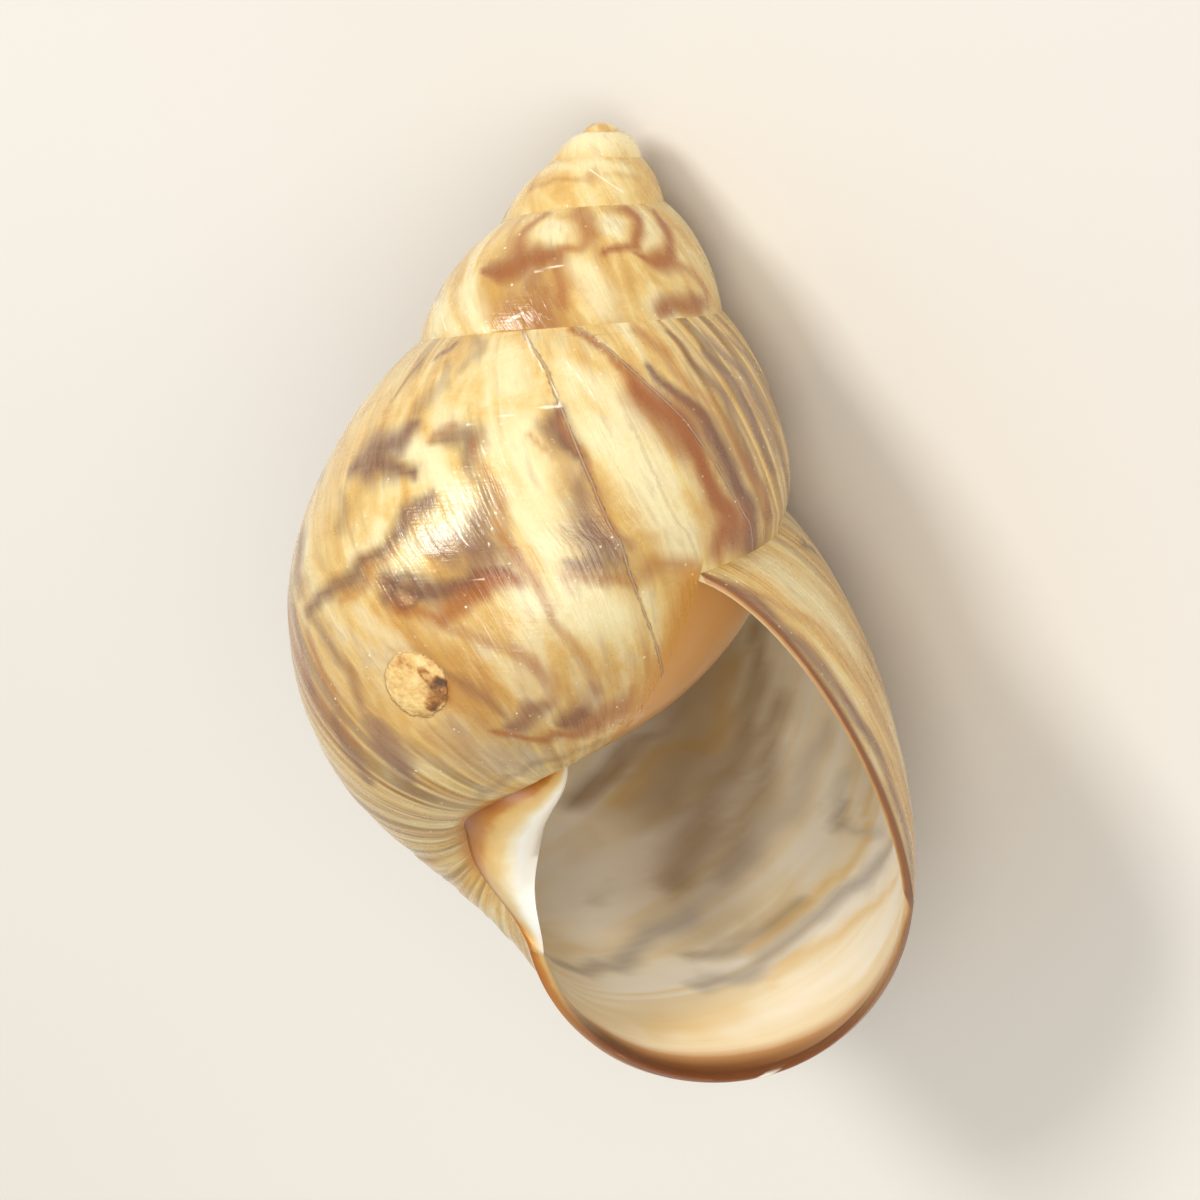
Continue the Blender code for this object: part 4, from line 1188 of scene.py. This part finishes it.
def fill(tree, node, inputs):
    """Gives sockets their values by name or number: another node's output is linked, anything else is set."""
    for name, value in inputs.items():
        if isinstance(value, bpy.types.NodeSocket):
            tree.links.new(value, node.inputs[name])
        else:
            node.inputs[name].default_value = value


def add(tree, kind, settings=None, inputs=None):
    """Adds a node. settings are its properties or a ramp's stops; inputs are what its sockets get."""
    node = tree.nodes.new("ShaderNode" + kind)
    for name, value in (settings or {}).items():
        if name == "stops":
            elements = node.color_ramp.elements
            elements.remove(elements[1])
            elements[0].position, elements[0].color = value[0][0], srgb(value[0][1])
            for position, code in value[1:]:
                elements.new(position).color = srgb(code)
        else:
            setattr(node, name, value)
    fill(tree, node, inputs or {})
    return node


# Settings that come often: a * b + c, a * b, a - b, a's size, a cut with soft ends, a mix of colours, whose
# sockets are 0 for the share and 6 and 7 for the colours, and whose output is 2, and a noise on a flat map.
TIMES_PLUS = {"operation": "MULTIPLY_ADD"}
TIMES = {"operation": "MULTIPLY"}
MINUS = {"operation": "SUBTRACT"}
SIZE = {"operation": "ABSOLUTE"}
SOFT = {"interpolation_type": "SMOOTHSTEP"}
COLOURS = {"data_type": "RGBA"}
FLAT = {"noise_dimensions": "2D"}
print("linear honey:", np.round(srgb("#DEBB72")[:3], 2))


# %% What every material of the shell starts from
def new_material(name):
    """An empty material on the shell, with a Principled shader wired to its output."""
    material = bpy.data.materials.new(name)
    material.use_nodes = True
    mesh.materials.append(material)
    return material.node_tree, material.node_tree.nodes["Principled BSDF"]


def painted_numbers(tree, title):
    """The four numbers of one of the mesh's corner attributes, each as a node's output."""
    attribute = add(tree, "Attribute", {"attribute_name": title})
    three = add(tree, "SeparateColor", inputs={"Color": attribute.outputs["Color"]})
    return [*three.outputs, attribute.outputs["Alpha"]]


def lay_colours(tree, coat, layers, streaks, blots):
    """Lays colours over a coat, each as far as its own soft number says.

    number + by_streaks * streaks + by_blots * blots is cut between start and full, both raised by half of
    each share, because a noise is a half on average. So a layer's edge frays as brushed pigment does.
    """
    for number, code, most, start, full, by_streaks, by_blots in layers:
        streaked = add(tree, "Math", TIMES_PLUS, {0: streaks, 1: by_streaks, 2: number}).outputs[0]
        frayed = add(tree, "Math", TIMES_PLUS, {0: blots, 1: by_blots, 2: streaked}).outputs[0]
        middle = (by_streaks + by_blots) / 2
        cut = add(tree, "MapRange", inputs={"Value": frayed, "From Min": start + middle,
                                            "From Max": full + middle, "To Max": most}).outputs[0]
        coat = add(tree, "Mix", COLOURS, {0: cut, 6: coat, 7: srgb(code)}).outputs[2]
    return coat


# %% Painted aragonite: coordinates and noises, sizes in mm
tree, skin = new_material("painted_aragonite")
lines_uv = add(tree, "UVMap", {"uv_map": "lines"}).outputs["UV"]
solid_place = add(tree, "TexCoord").outputs["Object"]
umber, rust, smoke, milk = painted_numbers(tree, "pigment")
from_stop, from_plug, in_stripes, from_scratch = painted_numbers(tree, "marks")
from_ring, glazed, brown_lip, strong_stop = painted_numbers(tree, "spots")

# name, width across the growth lines, length along them, detail, distortion
STREAKS = (("bands", 4.0, 16.0, 3.0, 0.8), ("stripes", 1.7, 50.0, 0.8, 0.3), ("brush", 0.8, 3.0, 4.0, 0.4),
           ("hairs", 0.35, 9.0, 2.0, 0.0), ("worn", 0.5, 1.2, 4.0, 0.0), ("striae", 5.0, 0.22, 2.0, 0.0))
# name, size, detail
BLOTS = (("blots", 2.4, 5.0), ("grain", 0.5, 3.0), ("crumbs", 0.9, 6.0))
noise = {}
for name, across_mm, along_mm, detail, distortion in STREAKS:
    stretched = add(tree, "Mapping", inputs={"Vector": lines_uv, "Scale": (1 / across_mm, 1 / along_mm, 1)})
    noise[name] = add(tree, "TexNoise", FLAT, {"Vector": stretched.outputs["Vector"], "Scale": 1.0,
                                               "Detail": detail, "Distortion": distortion}).outputs[0]
for name, size_mm, detail in BLOTS:
    noise[name] = add(tree, "TexNoise", inputs={"Vector": solid_place, "Scale": 1 / (size_mm * MM),
                                                "Detail": detail, "Roughness": 0.6}).outputs[0]
print("noises:", ", ".join(noise))

# %% The honey ground, striped where growth was fast
HONEY = ((0.30, "#C99C50"), (0.42, "#D6AF64"), (0.50, "#DEBB72"), (0.58, "#E4CA88"), (0.72, "#EBDAA8"))
STRIPES = ((0.33, "#704C24"), (0.41, "#A07838"), (0.46, "#CC9C4A"), (0.53, "#DEBC6C"), (0.60, "#E8D49A"),
           (0.74, "#B88C48"))
blotted = add(tree, "Math", TIMES_PLUS, {0: noise["blots"], 1: 0.6, 2: noise["bands"]}).outputs[0]
centred = add(tree, "Math", MINUS, {0: blotted, 1: 0.3}).outputs[0]
honey = add(tree, "ValToRGB", {"stops": HONEY}, {"Fac": centred}).outputs["Color"]
stripes = add(tree, "ValToRGB", {"stops": STRIPES}, {"Fac": noise["stripes"]}).outputs["Color"]
striped_share = add(tree, "Math", TIMES, {0: in_stripes, 1: 0.75}).outputs[0]
coat = add(tree, "Mix", COLOURS, {0: striped_share, 6: honey, 7: stripes}).outputs[2]
print("ground:", len(HONEY), "honey tones and", len(STRIPES), "stripe tones")

# %% Soft layers: milk, smoke, umber, rust, glaze and the brown at the lip
# Columns: number, colour, most, where it starts and is full, and how much the brush and blot noises count.
SKIN_LAYERS = (
    (milk, "#F2E6B8", 0.90, 0.02, 0.95, 0.3, 0.3),
    (smoke, "#9F8474", 0.80, 0.02, 1.00, 0.3, 0.3),
    (umber, "#744A36", 0.95, 0.02, 0.95, 0.45, 0.35),
    (rust, "#A05812", 0.92, 0.02, 0.95, 0.35, 0.35),
    (glazed, "#C98C38", 0.92, 0.10, 0.85, 0.3, 0.5),
    (brown_lip, "#7A4A28", 0.85, 0.30, 0.80, 0.1, 0.1),
)
coat = lay_colours(tree, coat, SKIN_LAYERS, noise["brush"], noise["blots"])
print("soft layers:", len(SKIN_LAYERS))

# %% The plug's crumbs, and the distances to stops and ring
PLUG_TAN = ((0.30, "#B98442"), (0.42, "#E0B66E"), (0.56, "#EECB84"), (0.70, "#F3DDA6"))
# The tans are the plug's rough filling; the darker ramp is its brown crack with painted shade in it, laid
# where rust crosses the plug.
PLUG_CRACK_BROWN_AND_SHADE = ((0.36, "#5E3A1A"), (0.50, "#A9702C"), (0.62, "#DDB06A"))
tan = add(tree, "ValToRGB", {"stops": PLUG_TAN}, {"Fac": noise["crumbs"]}).outputs["Color"]
crack_brown_and_shade = add(tree, "ValToRGB", {"stops": PLUG_CRACK_BROWN_AND_SHADE}, {"Fac": noise["crumbs"]}).outputs["Color"]
crack_share = add(tree, "MapRange", SOFT, {"Value": rust, "From Min": 0.35, "From Max": 0.75}).outputs[0]
plug_colour = add(tree, "Mix", COLOURS, {0: crack_share, 6: tan, 7: crack_brown_and_shade}).outputs[2]
stop_size = add(tree, "Math", SIZE, {0: from_stop}).outputs[0]
# Stop lines: the dark one is brown pigment and the ridge's painted shadow, the pale one pale shell and a
# painted highlight.
stop_brown_and_shadow = add(tree, "Math", TIMES, {0: strong_stop, 1: 0.7}).outputs[0]
stop_pale_and_highlight = add(tree, "Math", TIMES, {0: strong_stop, 1: 0.25}).outputs[0]
off_ring = add(tree, "Math", MINUS, {0: from_ring, 1: RING_RADIUS}).outputs[0]
ring_size = add(tree, "Math", SIZE, {0: off_ring}).outputs[0]
PIT_SPACING_MM = 0.55
pits = add(tree, "TexVoronoi", inputs={"Vector": solid_place, "Scale": 1 / (PIT_SPACING_MM * MM)})
pitted = add(tree, "MapRange", inputs={"Value": noise["blots"], "From Min": 0.54, "From Max": 0.66,
                                       "To Max": 0.85}).outputs[0]
print("plug:", len(PLUG_TAN), "tans and", len(PLUG_CRACK_BROWN_AND_SHADE), "browns; pits", PIT_SPACING_MM, "mm apart")

# %% Lines and spots cut out of their distances: stops, scratches, pale pits, the ring and the plug
# Columns: distance, where the mark ends and is full, most, colour, and how far the grain moves its edge.
CUTS = (
    # The two stop lines: brown with a painted shadow beside the ridge, and pale shell with a painted highlight
    # on its crest.
    (stop_size, 0.20, 0.05, stop_brown_and_shadow, srgb("#7A4A26"), 0.35),
    (stop_size, 0.08, 0.03, stop_pale_and_highlight, srgb("#F6EACB"), 0.12),
    (from_scratch, 0.12, 0.03, 0.75, srgb("#FBF5E0"), 0.06),
    (pits.outputs["Distance"], 0.20, 0.10, pitted, srgb("#F9F0D2"), 0.0),
    (ring_size, 0.34, 0.06, 0.38, srgb("#5E3E30"), 0.5),
    (from_plug, 2.28, 2.12, 1.0, plug_colour, 0.5),
)
for distance, end, full, most, colour, waver in CUTS:
    wavering = add(tree, "Math", TIMES_PLUS, {0: noise["grain"], 1: waver, 2: distance}).outputs[0]
    cut = add(tree, "MapRange", SOFT, {"Value": wavering, "From Min": end + waver / 2,
                                       "From Max": full + waver / 2, "To Max": most}).outputs[0]
    coat = add(tree, "Mix", COLOURS, {0: cut, 6: coat, 7: colour}).outputs[2]
in_plug = cut
print("cuts:", len(CUTS))

# %% Gloss, depth and fine relief of the skin
dull = add(tree, "MapRange", inputs={"Value": noise["blots"], "From Min": 0.3, "From Max": 0.7,
                                     "To Min": 0.22, "To Max": 0.36}).outputs[0]
rough = add(tree, "Mix", {"data_type": "FLOAT"}, {0: in_plug, 2: dull, 3: 0.7}).outputs[0]
lumps = add(tree, "Math", TIMES, {0: in_plug, 1: noise["crumbs"]}).outputs[0]
heights = noise["worn"]
for more, times in ((noise["striae"], 0.25), (noise["hairs"], 0.8), (noise["grain"], 0.35), (lumps, 6.0)):
    heights = add(tree, "Math", TIMES_PLUS, {0: more, 1: times, 2: heights}).outputs[0]
bump = add(tree, "Bump", inputs={"Strength": 0.8, "Distance": 0.07 * MM, "Height": heights}).outputs[0]
fill(tree, skin, {"Base Color": coat, "Roughness": rough, "Normal": bump, "IOR": 1.53,
                  "Subsurface Weight": 0.15, "Subsurface Scale": 2 * MM,
                  "Subsurface Radius": (1.0, 0.6, 0.35), "Coat Weight": 0.5, "Coat Roughness": 0.16,
                  "Coat IOR": 1.5, "Coat Normal": bump})
print("painted aragonite:", len(tree.nodes), "nodes")

# %% [markdown]
# ## The inside of the mouth
#
# The inner side is the same mineral, laid down smooth and never worn: a porcelain with a wide soft shine. The
# flames of the outside show through it as bluish and brown shadows. One pearly colour would be the easy way,
# but it would hide them, so the same brush is used with other pigments over a pale ground. Two layers on the
# turn
# from the lip are painted shade: they make the wall darker the deeper it goes into the hollow, and the broad
# first bark stroke paints the shade deep in the upper part of the mouth.

# %% Porcelain glaze
BAND_SIZES_MM = (4.0, 18)
BLOT_MM = 3.0
PORCELAIN = ((0.34, "#F3DFB6"), (0.48, "#F8E7C2"), (0.58, "#FCF1D6"), (0.68, "#FDF6E6"))
tree, porcelain = new_material("porcelain_glaze")
lines_uv = add(tree, "UVMap", {"uv_map": "lines"}).outputs["UV"]
growth_uv = add(tree, "UVMap", {"uv_map": "growth"}).outputs["UV"]
solid_place = add(tree, "TexCoord").outputs["Object"]
bark_and_deep_shade, slate, gold, pearl = painted_numbers(tree, "pigment")
_, glazed, brown_lip, _ = painted_numbers(tree, "spots")
turn_back = add(tree, "SeparateXYZ", inputs={0: growth_uv}).outputs["X"]
band_scale = (1 / BAND_SIZES_MM[0], 1 / BAND_SIZES_MM[1], 1)
stretched = add(tree, "Mapping", inputs={"Vector": lines_uv, "Scale": band_scale})
bands = add(tree, "TexNoise", FLAT, {"Vector": stretched.outputs[0], "Scale": 1.0, "Detail": 2.0,
                                     "Distortion": 0.6}).outputs[0]
blots = add(tree, "TexNoise", inputs={"Vector": solid_place, "Scale": 1 / (BLOT_MM * MM),
                                      "Detail": 3.0}).outputs[0]
ground_colour = add(tree, "ValToRGB", {"stops": PORCELAIN}, {"Fac": bands}).outputs["Color"]
# Columns: number, colour, most, where it starts and is full, and how much the band and blot noises count.
MOUTH_LAYERS = (
    # The first two rows are painted shade: grey, then dark brown, the further the wall runs back into the
    # hollow.
    (turn_back, "#E6D7C0", 0.50, 0.115, 0.21, 0.05, 0.03),
    (turn_back, "#6B5236", 0.90, 0.40, 0.70, 0.0, 0.0),
    (pearl, "#FBF3E0", 0.85, 0.02, 1.00, 0.1, 0.15),
    (gold, "#EDC67C", 0.80, 0.02, 1.00, 0.1, 0.1),
    (bark_and_deep_shade, "#7E5F38", 0.92, 0.02, 1.00, 0.08, 0.10),
    (slate, "#A69E9A", 0.68, 0.02, 1.00, 0.05, 0.08),
    (glazed, "#C88838", 0.95, 0.05, 0.60, 0.1, 0.3),
    (brown_lip, "#C08446", 0.85, 0.02, 0.45, 0.0, 0.15),
    (brown_lip, "#6F3F1E", 0.92, 0.35, 0.95, 0.0, 0.15),
)
colour = lay_colours(tree, ground_colour, MOUTH_LAYERS, bands, blots)
bump = add(tree, "Bump", inputs={"Strength": 0.3, "Distance": 0.08 * MM, "Height": bands}).outputs[0]
fill(tree, porcelain, {"Base Color": colour, "Coat Normal": bump, "IOR": 1.53, "Roughness": 0.3,
                       "Coat Weight": 0.6, "Coat Roughness": 0.12})
print("porcelain glaze:", len(tree.nodes), "nodes")

# %% [markdown]
# ## The enamel of the lip
#
# Over the rim and on the fold beside the pillar the last layer is a thick smooth **enamel**, the same mineral
# again, with a soft shine. A number runs across it from the skin to the free edge, and a colour ramp on that
# number gives dark brown over the rim, and on the fold orange, gold and white in turn. Three ramps are mixed
# by how far round the lip a place lies, because one ramp could not be brown at the rim and white at the fold.

# %% Lip enamel: brown over the rim, white and gold on the fold
ON_WALL = ((0.0, "#7A4A22"), (0.30, "#8A5628"), (0.60, "#BC8E52"), (1.0, "#E8D2A4"))
ON_BASE = ((0.0, "#BC884C"), (0.22, "#9C6634"), (0.45, "#7A4826"), (1.0, "#6F3F1E"))
ON_FOLD = ((0.0, "#9C560E"), (0.12, "#B06C1C"), (0.24, "#C08232"), (0.36, "#D9B068"), (0.58, "#E6C98C"),
           (0.72, "#F3E6C2"), (0.86, "#FFFDF2"))
LIP_BLOT_MM = 1.2
tree, enamel = new_material("lip_enamel")
growth_uv = add(tree, "UVMap", {"uv_map": "growth"}).outputs["UV"]
solid_place = add(tree, "TexCoord").outputs["Object"]
chip = painted_numbers(tree, "pigment")[0]
across_lip, along_lip, _ = add(tree, "SeparateXYZ", inputs={0: growth_uv}).outputs
blots = add(tree, "TexNoise", inputs={"Vector": solid_place, "Scale": 1 / (LIP_BLOT_MM * MM),
                                      "Detail": 4.0}).outputs[0]
# The fold narrows upwards and its brown edge with it, but the white keeps its width: so the number grows.
narrowing = add(tree, "MapRange", SOFT, {"Value": along_lip, "From Min": 1.35, "From Max": 1.90,
                                         "To Min": 1.0, "To Max": 2.0}).outputs[0]
widened = add(tree, "Math", TIMES, {0: across_lip, 1: narrowing}).outputs[0]
waver = add(tree, "Math", TIMES_PLUS, {0: blots, 1: 0.2, 2: widened}).outputs[0]
shifted = add(tree, "Math", MINUS, {0: waver, 1: 0.1}).outputs[0]
colour = add(tree, "ValToRGB", {"stops": ON_WALL}, {"Fac": shifted}).outputs["Color"]
# Where one part of the lip goes over into the next: share, half the change's width, and the colours after.
for middle, half, stops in ((0.45, 0.10, ON_BASE), (0.93, 0.07, ON_FOLD)):
    change = add(tree, "MapRange", SOFT, {"Value": along_lip, "From Min": middle - half,
                                          "From Max": middle + half}).outputs[0]
    part = add(tree, "ValToRGB", {"stops": stops}, {"Fac": shifted}).outputs["Color"]
    colour = add(tree, "Mix", COLOURS, {0: change, 6: colour, 7: part}).outputs[2]
chipped = add(tree, "Mix", COLOURS, {0: chip, 6: colour, 7: srgb("#FBF6E8")}).outputs[2]
fill(tree, enamel, {"Base Color": chipped, "IOR": 1.53, "Roughness": 0.4, "Coat Weight": 0.3,
                    "Coat Roughness": 0.3, "Subsurface Weight": 0.1, "Subsurface Scale": 2 * MM})
print("materials on the shell:", [material.name for material in mesh.materials])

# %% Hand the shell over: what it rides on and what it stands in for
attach(shell, "root")
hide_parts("shell")
print("the shell rides on root and stands in for the solid's node shell")

# %% [markdown]
# ## Camera
#
# A small object is seen best from some way off with a long lens, because the whorls then keep their true
# proportions. The camera is placed in the shell's own upright frame, a little turned and tipped, and carried
# over to the lying shell, so it sees the mouth as if the shell stood upright. Its distance, turn, tip and
# aim come from the same fit as the growth law's stations.

# %% Camera: distances in mm, angles in radians
CAMERA_DISTANCE = 557.7
CAMERA_TURN = 0.111
CAMERA_TIP = 0.040
CAMERA_AIM = (-0.338, 0.0, -29.393)
AIM_LOWERED = (0, 0, 0.6)
SENSOR_WIDTH_MM = 36.0
PICTURE_WIDTH_MM = 75.47
VIEW = about_y(CAMERA_TURN) @ about_x(-CAMERA_TIP)


def from_view(vector):
    """A direction told as right, away and up in the picture, turned into the solid's frame."""
    return LAY @ VIEW.T @ np.array(vector, float)


def from_view_point(vector):
    """A place told as right, away and up from the middle of the picture, in mm, in the solid's frame."""
    return laid(VIEW.T @ (np.array(vector, float) + np.array(CAMERA_AIM)) - np.array(AIM_LOWERED))


eye = bpy.data.cameras.new("eye")
eye.sensor_width = SENSOR_WIDTH_MM
eye.lens = SENSOR_WIDTH_MM * CAMERA_DISTANCE / PICTURE_WIDTH_MM
eye.clip_start = 0.01
camera = bpy.data.objects.new("eye", eye)
pose = np.eye(4)
pose[:3, :3] = np.stack([from_view((1, 0, 0)), from_view((0, 0, 1)), from_view((0, -1, 0))], axis=-1)
pose[:3, 3] = from_view_point((0, -CAMERA_DISTANCE, 0))
camera.matrix_world = Matrix(pose.tolist())
bpy.context.scene.collection.objects.link(camera)
bpy.context.scene.camera = camera
print("camera at", np.round(pose[:3, 3], 4), "lens", round(eye.lens, 1))

# %% [markdown]
# ## Lights
#
# Four soft boxes and an even sky make a small studio. A glossy shell mirrors its lamps, so each is a box with
# some width and not a point: a small key at the left gives the worn skin its one lively highlight, a wider
# one at the right rounds the older whorls, and the large front and top boxes fill the mouth.

# %% Lights
WARM_WHITE = (1.0, 0.97, 0.92)


def softbox(name, direction, distance, size, watts):
    """A square lamp, size metres wide, distance metres from the shell in a direction of right, away, up."""
    lamp = bpy.data.lights.new(name, "AREA")
    lamp.shape = "SQUARE"
    lamp.size = size
    lamp.energy = watts
    lamp.color = WARM_WHITE
    holder = bpy.data.objects.new(name, lamp)
    aim = Vector(from_view_point((0, 0, 0)))
    way = Vector(from_view(direction)).normalized()
    holder.location = aim + way * distance
    holder.rotation_euler = way.to_track_quat("Z", "Y").to_euler()
    bpy.context.scene.collection.objects.link(holder)
    print(name, "box:", size, "m wide,", distance, "m away,", watts, "W")


softbox("key", (-0.77, -0.56, 0.30), 0.6, 0.2, 2.0)
softbox("right", (0.87, -0.44, 0.23), 0.7, 0.3, 2.6)
softbox("front", (0.02, -0.97, -0.20), 0.9, 0.6, 3.9)
softbox("top", (0.0, -0.60, 0.80), 0.9, 0.5, 0.5)

# %% Sky
world = bpy.data.worlds.new("studio")
world.use_nodes = True
sky = world.node_tree.nodes["Background"]
fill(world.node_tree, sky, {"Color": (1.0, 0.98, 0.95, 1), "Strength": 0.50})
bpy.context.scene.world = world
print("sky strength:", sky.inputs["Strength"].default_value)

# %% [markdown]
# ## Floor
#
# The shell lies on **matt paper**, pale and almost plain, so that the object alone has colour. Real paper is
# never one flat tone, so a faint slow noise on Object coordinates shifts its shade by a few parts in a
# hundred.

# %% Floor and its paper
FLOOR_HALF = 2.0
CLOUDS_A_METRE = 6.0
PAPER_TONES = ((0.35, "#DEDAD3"), (0.65, "#E4E1DB"))
floor_corners = [(x * FLOOR_HALF, y * FLOOR_HALF, 0) for x, y in ((-1, -1), (1, -1), (1, 1), (-1, 1))]
floor_mesh = bpy.data.meshes.new("floor")
floor_mesh.from_pydata(floor_corners, [], [(0, 1, 2, 3)])
floor = bpy.data.objects.new("floor", floor_mesh)
paper = bpy.data.materials.new("matt_paper")
paper.use_nodes = True
tree = paper.node_tree
solid_place = add(tree, "TexCoord").outputs["Object"]
cloudy = add(tree, "TexNoise", inputs={"Vector": solid_place, "Scale": CLOUDS_A_METRE,
                                       "Detail": 2.0}).outputs[0]
pale = add(tree, "ValToRGB", {"stops": PAPER_TONES}, {"Fac": cloudy}).outputs["Color"]
fill(tree, tree.nodes["Principled BSDF"], {"Base Color": pale, "Roughness": 0.9})
floor_mesh.materials.append(paper)
bpy.context.scene.collection.objects.link(floor)
bpy.context.scene.view_settings.view_transform = "Standard"
print("paper floor,", 2 * FLOOR_HALF, "m wide")
